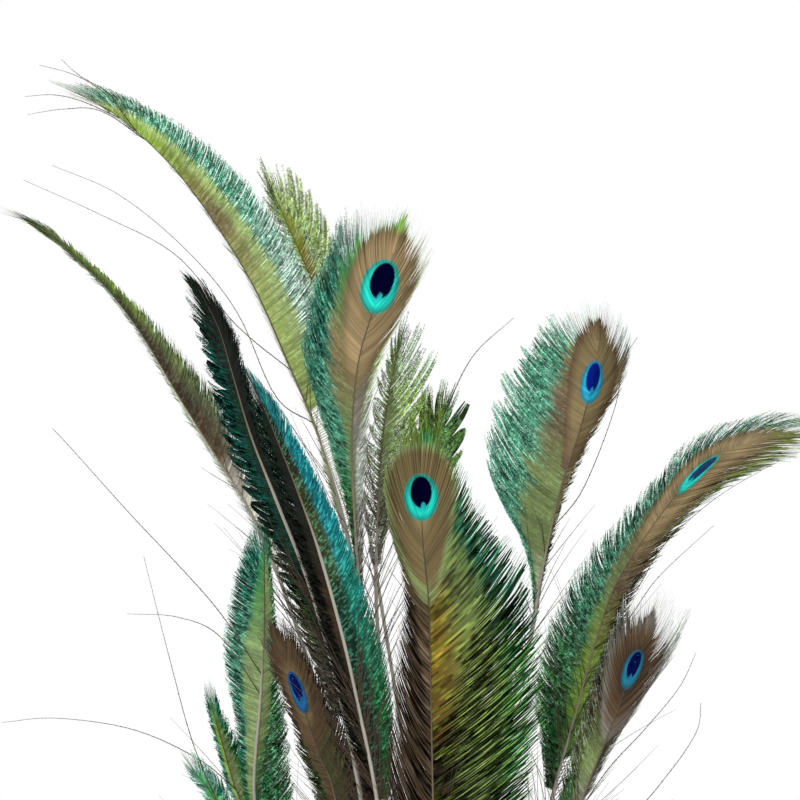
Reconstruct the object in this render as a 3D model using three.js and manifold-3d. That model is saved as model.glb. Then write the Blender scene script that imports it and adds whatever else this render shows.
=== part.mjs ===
// A bunch of sixteen peacock train feathers standing in a plain glazed vase.
// Millimetres, +Z up, +X to the right and +Y to the back. The origin is the centre of the vase's foot.
import * as THREE from "three";
import Module from "manifold-3d";

const wasm = await Module();
wasm.setup();

// ---- Vase ----
const VASE_HEIGHT = 200;
const FOOT_RADIUS = 44;
const BELLY_RADIUS = 58;
const BELLY_HEIGHT = 84;
const NECK_RADIUS = 36.5;
const NECK_HEIGHT = 178;
const LIP_RADIUS = 43;
const WALL = 4.5;
const FLOOR = 9;
const VASE_SIDES = 40;

// ---- Feathers ----
const STEM_COUNT = 16; // places round the neck, one stem leaning in each
const STEM_GAP = 0.9; // between a stem and the neck it leans on
const FOOT_RING = 23; // radius of the circle on which the quills stand inside the vase
const FLOOR_GAP = 0.4;
const QUILL_STATIONS = 9;
const LOCK_PITCH = 7.2; // half of one lock of barbs and its notch, measured along the shaft
const LOCK_NOTCH = 0.88; // width between two locks, as a share of the width at a lock's tip
const EDGE_RISE = 3; // how far a lock's tip stands above its root
const CROWN = 0.12; // share of the vane over which its upper end is rounded off
const HERL_RADIUS = 0.5; // of a long loose herl at its root
const HERL_STATIONS = 9;
const VANE_FRONT = -Math.PI / 2; // the front of an unturned vane looks along -Y

const NECK_INNER = NECK_RADIUS - WALL;
const GREEN = 0x3f7f5a;
const TEAL = 0x1f7f78;
const OLIVE = 0x7f8a3a;
const DARK = 0x18231f;

// One feather: `stem` is its place round the neck and `quill` its shaft's radius there. `spine` is the
// line of the shaft above the neck as [x, y, z], its last point at the top of the crown. `vane` is the
// length of shaft that carries barbs. `left` and `right` are the widths of its two half vanes at even
// steps from the vane's lower end to the crown, and `fold` the angles by which they bend back, left
// and right. `turn` rolls the vane about the shaft, at even steps again. Angles are in degrees. `herls`
// are single long barbs: where each one springs from the vane (0 to 1) and the points it passes.
const FEATHERS = [
  {
    name: "feather_arching_left", stem: 4, quill: 2.0, vane: 290, color: TEAL,
    spine: [[-14, 30, 270], [-23, 31, 348], [-33, 31, 428], [-42, 30, 482], [-56, 30, 530],
      [-72, 29, 569], [-89, 27, 607], [-109, 26, 640], [-133, 24, 671], [-163, 20, 697], [-198, 15, 713]],
    left: [2, 9, 14, 15, 10, 2], right: [4, 26, 28, 26, 16, 4], fold: [82, 4], turn: [0, -4, -12],
    herls: [
      { at: 0.2, points: [[-78, 20, 552], [-97, 14, 594], [-122, 10, 625], [-156, 8, 653], [-190, 8, 668]] },
      { at: 0.3, points: [[-98, 24, 588], [-128, 20, 623], [-165, 17, 643], [-205, 15, 661]] },
    ],
  },
  {
    name: "feather_tuft_back", stem: 3, quill: 1.7, vane: 150, color: OLIVE,
    spine: [[-2, 42, 270], [-10, 48, 350], [-24, 55, 440], [-38, 62, 520], [-50, 67, 580],
      [-65, 71, 622], [-87, 75, 669]],
    left: [2, 4, 6, 6, 5, 1], right: [2, 8, 13, 18, 17, 7], fold: [20, 5], turn: [0, 5, 10], herls: [],
  },
  {
    name: "feather_eyed_upper", stem: 13, quill: 2.0, vane: 200, color: TEAL,
    spine: [[0, -22, 270], [-27, -17, 350], [-32, -12, 420], [-37, -6, 480], [-39, -2, 530],
      [-36, 1, 568], [-29, 3, 593], [-20, 5, 620], [-9, 6, 651]],
    left: [2, 7, 18, 30, 32, 27], right: [2, 6, 9, 13, 18, 15], fold: [8, 26], turn: [0, 2, 4], herls: [],
  },
  {
    name: "feather_sparse_back", stem: 1, quill: 1.7, vane: 130, color: GREEN,
    spine: [[10, 18, 270], [-17, 20, 347], [-23, 20, 398], [-27, 20, 449], [-26, 21, 499],
      [-23, 21, 536], [-19, 22, 561], [-11, 22, 595]],
    left: [3, 7, 10, 10, 9, 5], right: [2, 5, 8, 9, 11, 8], fold: [5, 5], turn: [0, 0, 0], herls: [],
  },
  {
    name: "feather_eyed_front", stem: 12, quill: 2.1, vane: 285, color: GREEN,
    spine: [[3, -38, 270], [1, -49, 356], [0, -56, 405], [-1, -63, 450], [-4, -69, 482], [-5, -74, 510],
      [-5, -80, 544]],
    left: [6, 17, 19, 14, 17, 12], right: [8, 44, 54, 57, 40, 20], fold: [12, 6], turn: [4, 2, 0],
    herls: [],
  },
  {
    name: "feather_eyed_right", stem: 0, quill: 2.0, vane: 165, color: TEAL,
    spine: [[26, 10, 270], [34, 14, 348], [42, 17, 398], [51, 19, 430], [57, 20, 464], [66, 22, 504],
      [76, 25, 534], [83, 27, 560], [86, 28, 580], [87, 29, 604]],
    left: [1, 13, 40, 45, 37, 20], right: [1, 3, 5, 10, 19, 16], fold: [6, 40], turn: [-8, -10, -12],
    herls: [{ at: 0.25, points: [[78, 26, 505], [94, 30, 545], [99, 32, 570], [106, 33, 582]] }],
  },
  {
    name: "feather_arching_right", stem: 15, quill: 2.0, vane: 260, color: TEAL,
    spine: [[44, -4, 270], [61, 0, 350], [72, 2, 390], [82, 4, 425], [92, 5, 455], [107, 5, 480],
      [125, 4, 504], [143, 2, 521], [166, -1, 531], [188, -4, 534], [211, -8, 532]],
    left: [10, 24, 32, 29, 34, 16], right: [5, 10, 13, 18, 29, 20], fold: [4, 4], turn: [-10, -57, -70],
    herls: [
      { at: 0.35, points: [[102, -4, 454], [116, -12, 478], [142, -18, 502], [172, -22, 520]] },
      { at: 0.28, points: [[98, -6, 440], [113, -14, 462], [140, -20, 488]] },
    ],
  },
  {
    name: "feather_eyed_low_right", stem: 14, quill: 1.9, vane: 160, color: GREEN,
    spine: [[46, -28, 270], [60, -38, 322], [73, -45, 355], [86, -51, 388], [97, -56, 419],
      [105, -61, 440], [111, -65, 463]],
    left: [2, 9, 14, 17, 17, 13], right: [2, 2, 4, 9, 17, 14], fold: [6, 38], turn: [-6, -12, -18],
    herls: [
      { at: 0.18, points: [[86, -40, 369], [104, -42, 389], [121, -44, 410], [129, -46, 427]] },
      { at: 0.08, points: [[98, -34, 347], [117, -36, 368], [130, -38, 388], [132, -39, 402]] },
    ],
  },
  {
    name: "feather_thin_left", stem: 5, quill: 1.8, vane: 250, color: OLIVE,
    spine: [[-28, 24, 270], [-41, 26, 347], [-66, 28, 430], [-88, 30, 487], [-111, 32, 525],
      [-128, 34, 552], [-146, 36, 582], [-163, 37, 605], [-177, 39, 619], [-200, 41, 639], [-225, 42, 650]],
    left: [1, 3, 3, 2, 2, 1], right: [2, 13, 20, 12, 5, 2], fold: [40, 25], turn: [0, 4, 10], herls: [],
  },
  {
    name: "feather_black", stem: 10, quill: 2.0, vane: 240, color: DARK,
    spine: [[-23, -27, 270], [-34, -29, 353], [-46, -30, 410], [-60, -31, 460], [-75, -32, 499],
      [-88, -32, 532], [-97, -32, 562], [-104, -32, 585], [-114, -32, 604], [-126, -32, 618]],
    left: [2, 7, 10, 14, 12, 5], right: [3, 6, 6, 7, 7, 4], fold: [12, 30], turn: [-4, -7, -10], herls: [],
  },
  {
    name: "feather_blue_edge", stem: 11, quill: 2.0, vane: 230, color: DARK,
    spine: [[-14, -36, 270], [-26, -42, 354], [-35, -47, 400], [-43, -52, 436], [-54, -55, 476],
      [-63, -57, 502], [-72, -59, 525], [-82, -60, 549], [-94, -60, 573]],
    left: [5, 10, 10, 10, 8, 2], right: [7, 17, 17, 14, 9, 3], fold: [15, 10], turn: [0, 5, 10], herls: [],
  },
  {
    name: "feather_eyed_low_left", stem: 9, quill: 1.8, vane: 150, color: OLIVE,
    spine: [[-34, -15, 270], [-47, -16, 352], [-55, -16, 374], [-65, -17, 404], [-73, -17, 424],
      [-83, -17, 450]],
    left: [2, 9, 11, 9, 9, 7], right: [4, 14, 17, 13, 11, 7], fold: [8, 12], turn: [-6, -10, -14],
    herls: [],
  },
  {
    name: "feather_bowed_left", stem: 7, quill: 1.8, vane: 200, color: GREEN,
    spine: [[-60, 7, 270], [-78, 6, 315], [-88, 6, 350], [-85, 5, 400], [-83, 4, 438], [-83, 2, 470],
      [-83, 1, 502]],
    left: [2, 5, 11, 20, 15, 3], right: [2, 18, 15, 8, 4, 2], fold: [8, 10], turn: [0, 0, 0],
    herls: [
      { at: 0.5, points: [[-105, -2, 432], [-126, -8, 442], [-150, -14, 444]] },
      { at: 0.55, points: [[-108, -4, 448], [-150, -16, 495], [-176, -24, 525], [-186, -27, 536]] },
    ],
  },
  {
    name: "feather_small_left", stem: 6, quill: 1.6, vane: 110, color: GREEN,
    spine: [[-50, 20, 262], [-76, 23, 312], [-96, 25, 347], [-105, 26, 375], [-110, 27, 392],
      [-114, 28, 411]],
    left: [2, 4, 4, 4, 3, 2], right: [2, 8, 12, 10, 5, 3], fold: [10, 16], turn: [0, 0, 0],
    herls: [{ at: 0.45, points: [[-118, 20, 369], [-150, 14, 384], [-188, 10, 390], [-215, 8, 388]] }],
  },
  {
    name: "feather_short_left", stem: 8, quill: 1.6, vane: 90, color: GREEN,
    spine: [[-56, -12, 250], [-82, -19, 304], [-106, -26, 353], [-115, -28, 366], [-124, -30, 380]],
    left: [2, 5, 5, 5, 4, 3], right: [2, 8, 9, 9, 7, 4], fold: [12, 16], turn: [0, 0, 0],
    herls: [{ at: 0.5, points: [[-116, -32, 380], [-128, -38, 425], [-140, -42, 474]] }],
  },
  {
    name: "feather_fishtail", stem: 2, quill: 1.7, vane: 130, color: OLIVE,
    spine: [[12, 32, 270], [5, 38, 345], [1, 41, 400], [0, 42, 468], [1, 42, 509], [4, 42, 530],
      [8, 42, 545], [13, 42, 561]],
    left: [2, 5, 10, 14, 15, 11], right: [2, 5, 9, 12, 13, 10], fold: [5, 5], turn: [0, 0, 0],
    herls: [{ at: 0.85, points: [[22, 40, 572], [43, 36, 592]] }],
  },
];

/** A colour with the dull lustre of keratin or glaze. */
function finish(color, roughness, metalness) {
  return new THREE.MeshStandardMaterial({ color, roughness, metalness });
}

/** The vase: one closed profile, up its outside and down its inside. */
function makeVase() {
  const outside = new THREE.SplineCurve([
    new THREE.Vector2(FOOT_RADIUS, 3),
    new THREE.Vector2(FOOT_RADIUS + 9, 34),
    new THREE.Vector2(BELLY_RADIUS, BELLY_HEIGHT),
    new THREE.Vector2(BELLY_RADIUS - 9, 132),
    new THREE.Vector2(NECK_RADIUS, NECK_HEIGHT),
    new THREE.Vector2(LIP_RADIUS, VASE_HEIGHT - 2),
  ]).getPoints(11);
  const inside = outside
    .filter((p) => p.y > FLOOR)
    .map((p) => new THREE.Vector2(p.x - WALL, p.y))
    .reverse();
  const profile = [
    new THREE.Vector2(0, 0),
    new THREE.Vector2(FOOT_RADIUS - 2, 0),
    ...outside,
    new THREE.Vector2(LIP_RADIUS - WALL / 2, VASE_HEIGHT),
    ...inside,
    new THREE.Vector2(FOOT_RADIUS - WALL, FLOOR),
    new THREE.Vector2(0, FLOOR),
  ];
  const geometry = new THREE.LatheGeometry(profile, VASE_SIDES);
  geometry.rotateX(Math.PI / 2); // the lathe turns about Y, and the vase stands along Z
  const vase = new THREE.Mesh(geometry, finish(0xe9e6df, 0.25, 0));
  vase.name = "vase";
  return vase;
}

/** The shaft's whole line, from the vase's floor, past the neck, to the top of the crown. */
function spineOf(feather) {
  const angle = ((feather.stem + 0.5) / STEM_COUNT) * 2 * Math.PI;
  const ring = NECK_INNER - STEM_GAP - feather.quill;
  const at = (radius, height) =>
    new THREE.Vector3(radius * Math.cos(angle), radius * Math.sin(angle), height);
  const points = [
    at(FOOT_RING, FLOOR + FLOOR_GAP),
    at((FOOT_RING + ring) / 2, 100),
    at(ring, NECK_HEIGHT + 4),
    ...feather.spine.map((p) => new THREE.Vector3(...p)),
  ];
  const curve = new THREE.CatmullRomCurve3(points, false, "catmullrom", 0.5);
  curve.arcLengthDivisions = 1200;
  return curve;
}

/** A smooth line through values at even steps, read at a height v of 0 to 1. */
function profile(values, v) {
  const line = new THREE.SplineCurve(values.map((value, i) => new THREE.Vector2(i, value)));
  return line.getPoint(v).y;
}

/** A half vane's width at the height v, rounded off at the crown. */
function halfWidth(widths, v) {
  const beyond = Math.max(0, (v - 1 + CROWN) / CROWN);
  return profile(widths, v) * Math.sqrt(1 - beyond ** 2);
}

/** The directions at a point of the shaft: along it, out of the vane's front and to its right. */
function frameAt(curve, u, turn) {
  const along = curve.getTangentAt(u);
  const facing = new THREE.Vector3(Math.cos(VANE_FRONT), Math.sin(VANE_FRONT), 0);
  const front = facing.addScaledVector(along, -facing.dot(along)).normalize();
  front.applyAxisAngle(along, THREE.MathUtils.degToRad(turn));
  return { along, front, right: new THREE.Vector3().crossVectors(along, front) };
}

/** The closed surface of rings of points, each ring `sides` long, between two end points. */
function closedSweep(rings, sides, first, last) {
  const points = [...rings.flat(), first, last];
  const foot = rings.length * sides;
  const index = [];
  for (let i = 0; i < rings.length; i++) {
    for (let j = 0; j < sides; j++) {
      const a = i * sides + j;
      const b = i * sides + ((j + 1) % sides);
      if (i + 1 < rings.length) {
        index.push(a, b, a + sides, b, b + sides, a + sides);
      } else {
        index.push(a, b, foot + 1);
      }
      if (i === 0) {
        index.push(foot, b, a);
      }
    }
  }
  return new wasm.Manifold(
    new wasm.Mesh({
      numProp: 3,
      vertProperties: Float32Array.from(points.flatMap((p) => [p.x, p.y, p.z])),
      triVerts: Uint32Array.from(index),
    }),
  );
}

/** The six points of a feather's section: two edges, and two pairs of points on the shaft between. */
function sectionAt(centre, axes, radius, wide, fold, rise) {
  const [foldLeft, foldRight] = fold;
  const at = (x, y, z) =>
    centre.clone()
      .addScaledVector(axes.right, x)
      .addScaledVector(axes.front, y)
      .addScaledVector(axes.along, z);
  const left = [-Math.cos(foldLeft), -Math.sin(foldLeft)];
  const right = [Math.cos(foldRight), -Math.sin(foldRight)];
  const opening = (Math.PI - foldLeft - foldRight) / 2; // half of the angle behind the shaft
  const middle = (foldRight - foldLeft) / 2;
  const corner = [-Math.sin(middle), -Math.cos(middle)].map((c) => (c * radius) / Math.sin(opening));
  const half = radius / 2;
  return [
    at(wide[0] * left[0], wide[0] * left[1], rise[0]),
    at(left[1] * radius + left[0] * half, -left[0] * radius + left[1] * half, 0),
    at(-right[1] * radius + right[0] * half, right[0] * radius + right[1] * half, 0),
    at(wide[1] * right[0], wide[1] * right[1], rise[1]),
    at(corner[0] + right[0] * half, corner[1] + right[1] * half, 0),
    at(corner[0] + left[0] * half, corner[1] + left[1] * half, 0),
  ];
}

/** A single long barb: a thin three-sided blade that springs from the shaft. */
function makeHerl(root, points) {
  const curve = new THREE.CatmullRomCurve3(
    [root, ...points.map((p) => new THREE.Vector3(...p))], false, "catmullrom", 0.5);
  const rings = [];
  for (let i = 0; i < HERL_STATIONS; i++) {
    const u = i / HERL_STATIONS;
    const axes = frameAt(curve, u, 0);
    const radius = HERL_RADIUS * (1 - 0.5 * u);
    rings.push([210, 90, -30].map((degrees) => {
      const angle = THREE.MathUtils.degToRad(degrees);
      return curve.getPointAt(u)
        .addScaledVector(axes.right, radius * Math.cos(angle))
        .addScaledVector(axes.front, radius * Math.sin(angle));
    }));
  }
  return closedSweep(rings, 3, curve.getPointAt(0), curve.getPointAt(1));
}

/** One feather as one closed body: its quill, its two half vanes and its loose herls. */
function makeFeather(feather) {
  const curve = spineOf(feather);
  const bare = 1 - feather.vane / curve.getLength();
  const locks = Math.round(feather.vane / LOCK_PITCH);
  const stations = [];
  for (let i = 0; i < QUILL_STATIONS; i++) {
    stations.push({ u: (bare * i) / QUILL_STATIONS, v: 0, notch: 1 });
  }
  for (let i = 0; i < locks; i++) {
    stations.push({ u: bare + ((1 - bare) * i) / locks, v: i / locks, notch: i % 2 ? LOCK_NOTCH : 1 });
  }
  stations.push({ u: 1 - (1 - bare) * 0.008, v: 0.992, notch: 1 });
  const rings = stations.map(({ u, v, notch }) => {
    const axes = frameAt(curve, u, profile(feather.turn, v));
    const radius = feather.quill * (1 - 0.72 * v) * (0.8 + 0.2 * Math.min(1, u * 8));
    const inVane = v > 0 ? 1 : 0;
    const wide = [feather.left, feather.right].map((widths) =>
      Math.max(radius, inVane * halfWidth(widths, v) * notch));
    const fold = feather.fold.map((degrees) =>
      inVane * THREE.MathUtils.degToRad(degrees) * Math.min(1, v * 6));
    const rise = wide.map((w) => inVane * EDGE_RISE * Math.min(1, w / 20) * (1 - v));
    return sectionAt(curve.getPointAt(u), axes, radius, wide, fold, rise);
  });
  const body = closedSweep(rings, 6, curve.getPointAt(0), curve.getPointAt(1));
  const herls = feather.herls.map((herl) =>
    makeHerl(curve.getPointAt(bare + (1 - bare) * herl.at), herl.points));
  const joined = wasm.Manifold.union([body, ...herls]).getMesh();
  const geometry = new THREE.BufferGeometry();
  geometry.setAttribute("position", new THREE.BufferAttribute(joined.vertProperties, 3));
  geometry.setIndex(new THREE.BufferAttribute(joined.triVerts, 1));
  geometry.computeVertexNormals();
  const mesh = new THREE.Mesh(geometry, finish(feather.color, 0.45, 0.2));
  mesh.name = feather.name;
  return mesh;
}

const bunch = new THREE.Group();
bunch.add(makeVase());
for (const feather of FEATHERS) {
  bunch.add(makeFeather(feather));
}

export default bunch;
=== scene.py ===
"""Sixteen peacock train feathers standing in a plain glazed vase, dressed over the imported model.

Lengths are in millimetres, in the row's frame, until a mesh is made. Each feather is a quill, which is
a tube carried along the line of the shaft, and its barbs, which are ribbons that grow from the shaft
to the outline of the vane, with short barbules along their loose part.
"""

import sys
import logging
import math
from dataclasses import dataclass
from enum import Enum, IntEnum

import bpy
import numpy as np
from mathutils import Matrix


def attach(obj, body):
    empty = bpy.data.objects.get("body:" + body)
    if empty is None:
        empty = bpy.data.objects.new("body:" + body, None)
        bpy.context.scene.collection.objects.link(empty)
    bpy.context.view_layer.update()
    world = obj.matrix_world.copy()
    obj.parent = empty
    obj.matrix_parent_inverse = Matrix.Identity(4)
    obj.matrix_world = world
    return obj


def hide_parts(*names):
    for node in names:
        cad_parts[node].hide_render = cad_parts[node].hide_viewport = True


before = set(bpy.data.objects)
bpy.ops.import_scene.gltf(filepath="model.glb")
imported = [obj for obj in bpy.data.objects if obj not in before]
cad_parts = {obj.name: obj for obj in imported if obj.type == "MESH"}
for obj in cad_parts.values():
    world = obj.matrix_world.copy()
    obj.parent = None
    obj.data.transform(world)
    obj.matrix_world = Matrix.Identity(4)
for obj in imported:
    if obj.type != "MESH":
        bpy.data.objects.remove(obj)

LOG = logging.getLogger("feathers")
MM = 0.001
BODY = "root"
PHASE = 6.28
Array = np.ndarray
Point = tuple[float, float, float]
Colour = tuple[float, float, float, float]


class Tint(Enum):
    """The feathers' colours, as 8-bit sRGB values."""

    WHITE = (240, 246, 238)
    IVORY = (232, 230, 214)
    PALE = (196, 208, 178)
    MINT = (188, 226, 206)
    SEA = (96, 182, 148)
    TEAL = (30, 138, 112)
    DEEP_TEAL = (8, 84, 72)
    EMERALD = (22, 112, 54)
    GREEN = (70, 150, 74)
    LEAF = (134, 168, 56)
    CHARTREUSE = (168, 188, 106)
    SAGE = (140, 162, 104)
    OLIVE = (112, 128, 74)
    MOSS = (66, 74, 36)
    BRONZE = (124, 108, 72)
    TAN = (156, 134, 96)
    COCOA = (92, 72, 50)
    GOLD = (138, 112, 34)
    UMBER = (58, 42, 28)
    SOOT = (18, 22, 16)
    BOTTLE = (14, 50, 38)
    GREY = (126, 122, 112)
    SILVER = (190, 192, 184)
    BLUE = (14, 146, 158)

    @property
    def linear(self) -> Colour:
        """The colour in scene-linear values, with full alpha."""
        shares = [c / 255 for c in self.value]
        return (*[c / 12.92 if c <= 0.04045 else ((c + 0.055) / 1.055) ** 2.4 for c in shares], 1.0)


Ramp = tuple[Tint, ...]


class Fact(IntEnum):
    """The numbers that each point of a barb carries for its finish and its place in the bake."""

    X = 0  # signed distance from the shaft
    Y = 1  # height above the eye's centre
    V = 2  # height up the vane, 0 to 1
    SHARE = 3  # share of the barb's length
    CHANCE = 4  # the barb's own random number
    LOOSE = 5  # 0 in the close web, 1 in the loose herl
    OVER = 6  # distance across the barbs
    ALONG = 7  # distance along the barb
    SHADE = 8  # how much light the barb gets
    STRAND = 9  # the barb's number
    ACROSS = 10  # place across the barb's cell of the bake, 0 to 1


@dataclass(frozen=True)
class Eyespot:
    """The eye near the crown.

    `at` is its height up the vane, `ring` the half width and half height of its blue-green ring, and
    `disc` its bronze disc's half width, height above the eye's middle and depth below it. `pupil` and
    `glow` are the linear colours of pupil and ring, and `rim` the disc's tints from its middle outward.
    """

    at: float
    ring: tuple[float, float]
    disc: tuple[float, float, float]
    pupil: Point = (0.001, 0.001, 0.02)
    glow: Point = (0.01, 0.72, 0.58)
    rim: Ramp = (Tint.BRONZE, Tint.BRONZE, Tint.TAN, Tint.BRONZE)


@dataclass(frozen=True)
class HalfVane:
    """One side of a vane: its widths, its fold, its barbs and its colours.

    `widths`, `web`, `pitch`, `inner` and `outer` are given at even steps from the vane's lower end to
    its crown. `web` is the share of each barb that lies close against its neighbours, coloured `inner`;
    the rest is loose herl, coloured `outer`. Where `fade` is given, `inner` turns to `outer` between its
    two shares of the barb instead of at the web's end, by way of the tint `through`.

    `fold` is the angle by which the half bends back, `pitch` the distance between the barbs' tips,
    `lean` the angle between barb and shaft at the vane's lower end and at its crown, and `sag` how
    hollow the barb's curve is: at 0.62 it is straight. `breadth` is half the width of a loose barb,
    `fringe` the length of its barbules, `ragged` how unequal the barbs are, and `thinning` how much
    finer they are at the crown. Barbs clump in locks `lock` wide, as strongly as `clump` says. Below
    the height `comb` they are bare and stand apart, or clump by `comb_clump`. `backed` says whether
    darker barbs fill in behind the others; their darkness is painted shade.

    `gap_shade` and `glints` say how strongly dark streaks of painted shade, and bright glints of painted
    highlight that lean to the tint `spark`, break up the herl, `web_shade_and_glints` how much of them
    reaches the web, and `dash` how long they are. `gap_shade` also sets the painted shade of the barbs
    behind.
    """

    widths: tuple[float, ...]
    fold: float
    inner: Ramp
    outer: Ramp
    web: tuple[float, ...] = (0.1, 0.4, 0.45, 0.45, 0.5, 0.7)
    pitch: tuple[float, ...] = (0.8, 0.8)
    lean: tuple[float, float] = (48.0, 34.0)
    sag: float = 0.3
    breadth: float = 0.19
    fringe: float = 1.3
    fade: tuple[float, float] | None = None
    through: Tint | None = None
    ragged: float = 0.1
    lock: float = 4.0
    clump: float = 0.2
    comb: float = 0.0
    comb_clump: float = 0.0
    gap_shade: float = 0.8
    web_shade_and_glints: float = 0.2
    glints: float = 0.8
    spark: Tint = Tint.MINT
    thinning: float = 0.7
    dash: float = 1.0
    backed: bool = True


@dataclass(frozen=True)
class FeatherPlan:
    """One feather: where it stands, the line of its shaft above the neck, and its two half vanes.

    `stem` is its place round the neck, `quill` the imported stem's radius, `vane` the vane's length,
    `spine` the shaft's points above the neck, and `turn` how far the vane rolls about the shaft, in
    degrees, at even steps. `pale` is how far up the vane the shaft stays thick and pale, from 0 to 1.
    `herls` are single long barbs: where each springs from the vane (0 to 1) and the points it passes.
    `wisps` is the number of thin loose barbs low on the shaft, and `bare_crown` the share of the vane
    above the last barb's root.
    """

    name: str
    slot: str
    stem: int
    quill: float
    vane: float
    spine: tuple[Point, ...]
    turn: tuple[float, ...]
    left: HalfVane
    right: HalfVane
    eye: Eyespot | None = None
    pale: float = 0.0
    herls: tuple[tuple[float, tuple[Point, ...]], ...] = ()
    wisps: int = 26
    bare_crown: float = 0.14


def spline(knots: Array, place: Array) -> Array:
    """A smooth line through all knots but the first and the last, which only give the end slopes.

    Between two knots it is (2t^3 - 3t^2 + 1) first + (t^3 - 2t^2 + t) slope 1 + (3t^2 - 2t^3) second
    + (t^3 - t^2) slope 2, a slope being half the step between the knot's neighbours.

    Args:
        knots: the knots, which are numbers or points.
        place: where to read the line, counted in knots from the second one.

    Returns:
        The line's value at each place.
    """
    i = np.minimum(place.astype(int), len(knots) - 4)
    before, first, second, after = (knots[i + k] for k in range(4))
    t = (place - i).reshape(place.shape + (1,) * (knots.ndim - 1))
    slope_1, slope_2 = 0.5 * (second - before), 0.5 * (after - first)
    return (
        (2 * t**3 - 3 * t**2 + 1) * first
        + (t**3 - 2 * t**2 + t) * slope_1
        + (3 * t**2 - 2 * t**3) * second
        + (t**3 - t**2) * slope_2
    )


def profile(values: tuple[float, ...], v: Array) -> Array:
    """A smooth line through values at even steps of v from 0 to 1, its ends doubled, read at each v."""
    knots = np.array([values[0], *values, values[-1]], float)
    return spline(knots, np.clip(v, 0, 1) * (len(values) - 1))


def curve_through(points: Array, samples: int) -> Array:
    """A smooth line through points, each end carried on straight, at even steps of its parameter."""
    knots = np.vstack([2 * points[0] - points[1], points, 2 * points[-1] - points[-2]])
    return spline(knots, np.linspace(0, len(points) - 1, samples))


def smoothstep(low: float, high: float, value: Array) -> Array:
    """0 below low, 1 above high, and a smooth S between them."""
    t = np.clip((value - low) / (high - low), 0, 1)
    return t * t * (3 - 2 * t)


def unit(vectors: Array) -> Array:
    """The vectors at length 1."""
    return vectors / np.maximum(np.linalg.norm(vectors, axis=-1, keepdims=True), 1e-9)


def arc_lengths(line: Array) -> Array:
    """The distance along a line of points, at each of them."""
    return np.concatenate([[0.0], np.cumsum(np.linalg.norm(np.diff(line, axis=0), axis=1))])


def full_turn(sides: int) -> Array:
    """Angles at even steps once round."""
    return np.linspace(0, 2 * math.pi, sides, endpoint=False)


def tube_quads(rings: int, sides: int) -> Array:
    """The quads between rings of points, each ring closed on itself.

    Args:
        rings: the number of rings.
        sides: the number of points on each.

    Returns:
        The quads, whose corners run anticlockwise seen from outside when the rings climb.
    """
    i, j = np.meshgrid(np.arange(rings - 1), np.arange(sides), indexing="ij")
    low, high = i * sides, (i + 1) * sides
    ahead = (j + 1) % sides
    return np.stack([low + j, low + ahead, high + ahead, high + j], -1).reshape(-1, 4)


class Shaft:
    """The line of a feather's shaft and its vane's directions, read at any distance from its foot."""

    SAMPLES = 2400
    RAMP = 6.0  # the fold is whole above one sixth of the vane
    # Where the stems stand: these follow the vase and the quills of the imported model.
    STEMS = 16
    NECK_REACH = 31.1
    NECK_HEIGHT = 182.0
    FOOT_RING = 23.0
    FOOT_HEIGHT = 9.4
    MIDDLE_HEIGHT = 100.0

    def __init__(self, plan: FeatherPlan) -> None:
        """Lays a smooth line through the stem's foot, middle and neck, and the plan's points.

        Args:
            plan: the feather.
        """
        self.plan = plan
        angle = (plan.stem + 0.5) / self.STEMS * 2 * math.pi
        ring = self.NECK_REACH - plan.quill
        radii = (self.FOOT_RING, (self.FOOT_RING + ring) / 2, ring)
        heights = (self.FOOT_HEIGHT, self.MIDDLE_HEIGHT, self.NECK_HEIGHT)
        stem = [(r * math.cos(angle), r * math.sin(angle), z) for r, z in zip(radii, heights)]
        self.line = curve_through(np.array([*stem, *plan.spine], float), self.SAMPLES)
        self.arc = arc_lengths(self.line)
        self.length = float(self.arc[-1])
        self.bare = self.length - plan.vane
        self.tangent = unit(np.gradient(self.line, self.arc, axis=0))

    def read(self, table: Array, s: Array) -> Array:
        """A sampled quantity at the distances s."""
        return np.stack([np.interp(s, self.arc, table[:, k]) for k in range(3)], axis=-1)

    def axes(self, s: Array) -> tuple[Array, Array, Array, Array]:
        """The shaft's point and directions; past the tip the line runs on straight.

        Args:
            s: distances from the foot.

        Returns:
            The point, the tangent, the front, which is -Y made square to the tangent and rolled about
            it by the plan's turn, and the right, which is tangent cross front.
        """
        along = unit(self.read(self.tangent, s))
        point = self.read(self.line, s) + along * np.maximum(s - self.length, 0)[..., None]
        facing = np.broadcast_to(np.array([0.0, -1.0, 0.0]), along.shape)
        front = unit(facing - along * np.sum(facing * along, axis=-1, keepdims=True))
        roll = np.radians(profile(self.plan.turn, (s - self.bare) / self.plan.vane))[..., None]
        front = front * np.cos(roll) + np.cross(along, front) * np.sin(roll)
        return point, along, front, np.cross(along, front)

    def on_vane(self, fold: float, side: int, x: Array, y: Array, lift: Array) -> tuple[Array, Array]:
        """Points of a half vane and its normals there.

        Args:
            fold: the angle by which the half bends back.
            side: -1 for the left half and 1 for the right one.
            x: distance out from the shaft.
            y: distance up the shaft from the vane's lower end.
            lift: distance off the vane, along its normal.

        Returns:
            The shaft's points moved by x along the half's own direction, and the half's normals.
        """
        point, _, front, right = self.axes(self.bare + y)
        bend = math.radians(fold) * np.clip(self.RAMP * y / self.plan.vane, 0, 1)[..., None]
        outward = side * right * np.cos(bend) - front * np.sin(bend)
        normal = front * np.cos(bend) + side * right * np.sin(bend)
        return point + outward * x[..., None] + normal * lift[..., None], normal


@dataclass
class Surface:
    """Points, faces of one size, each point's facts, and the material the faces take."""

    points: Array
    faces: Array
    facts: Array
    material: int = 0


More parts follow.
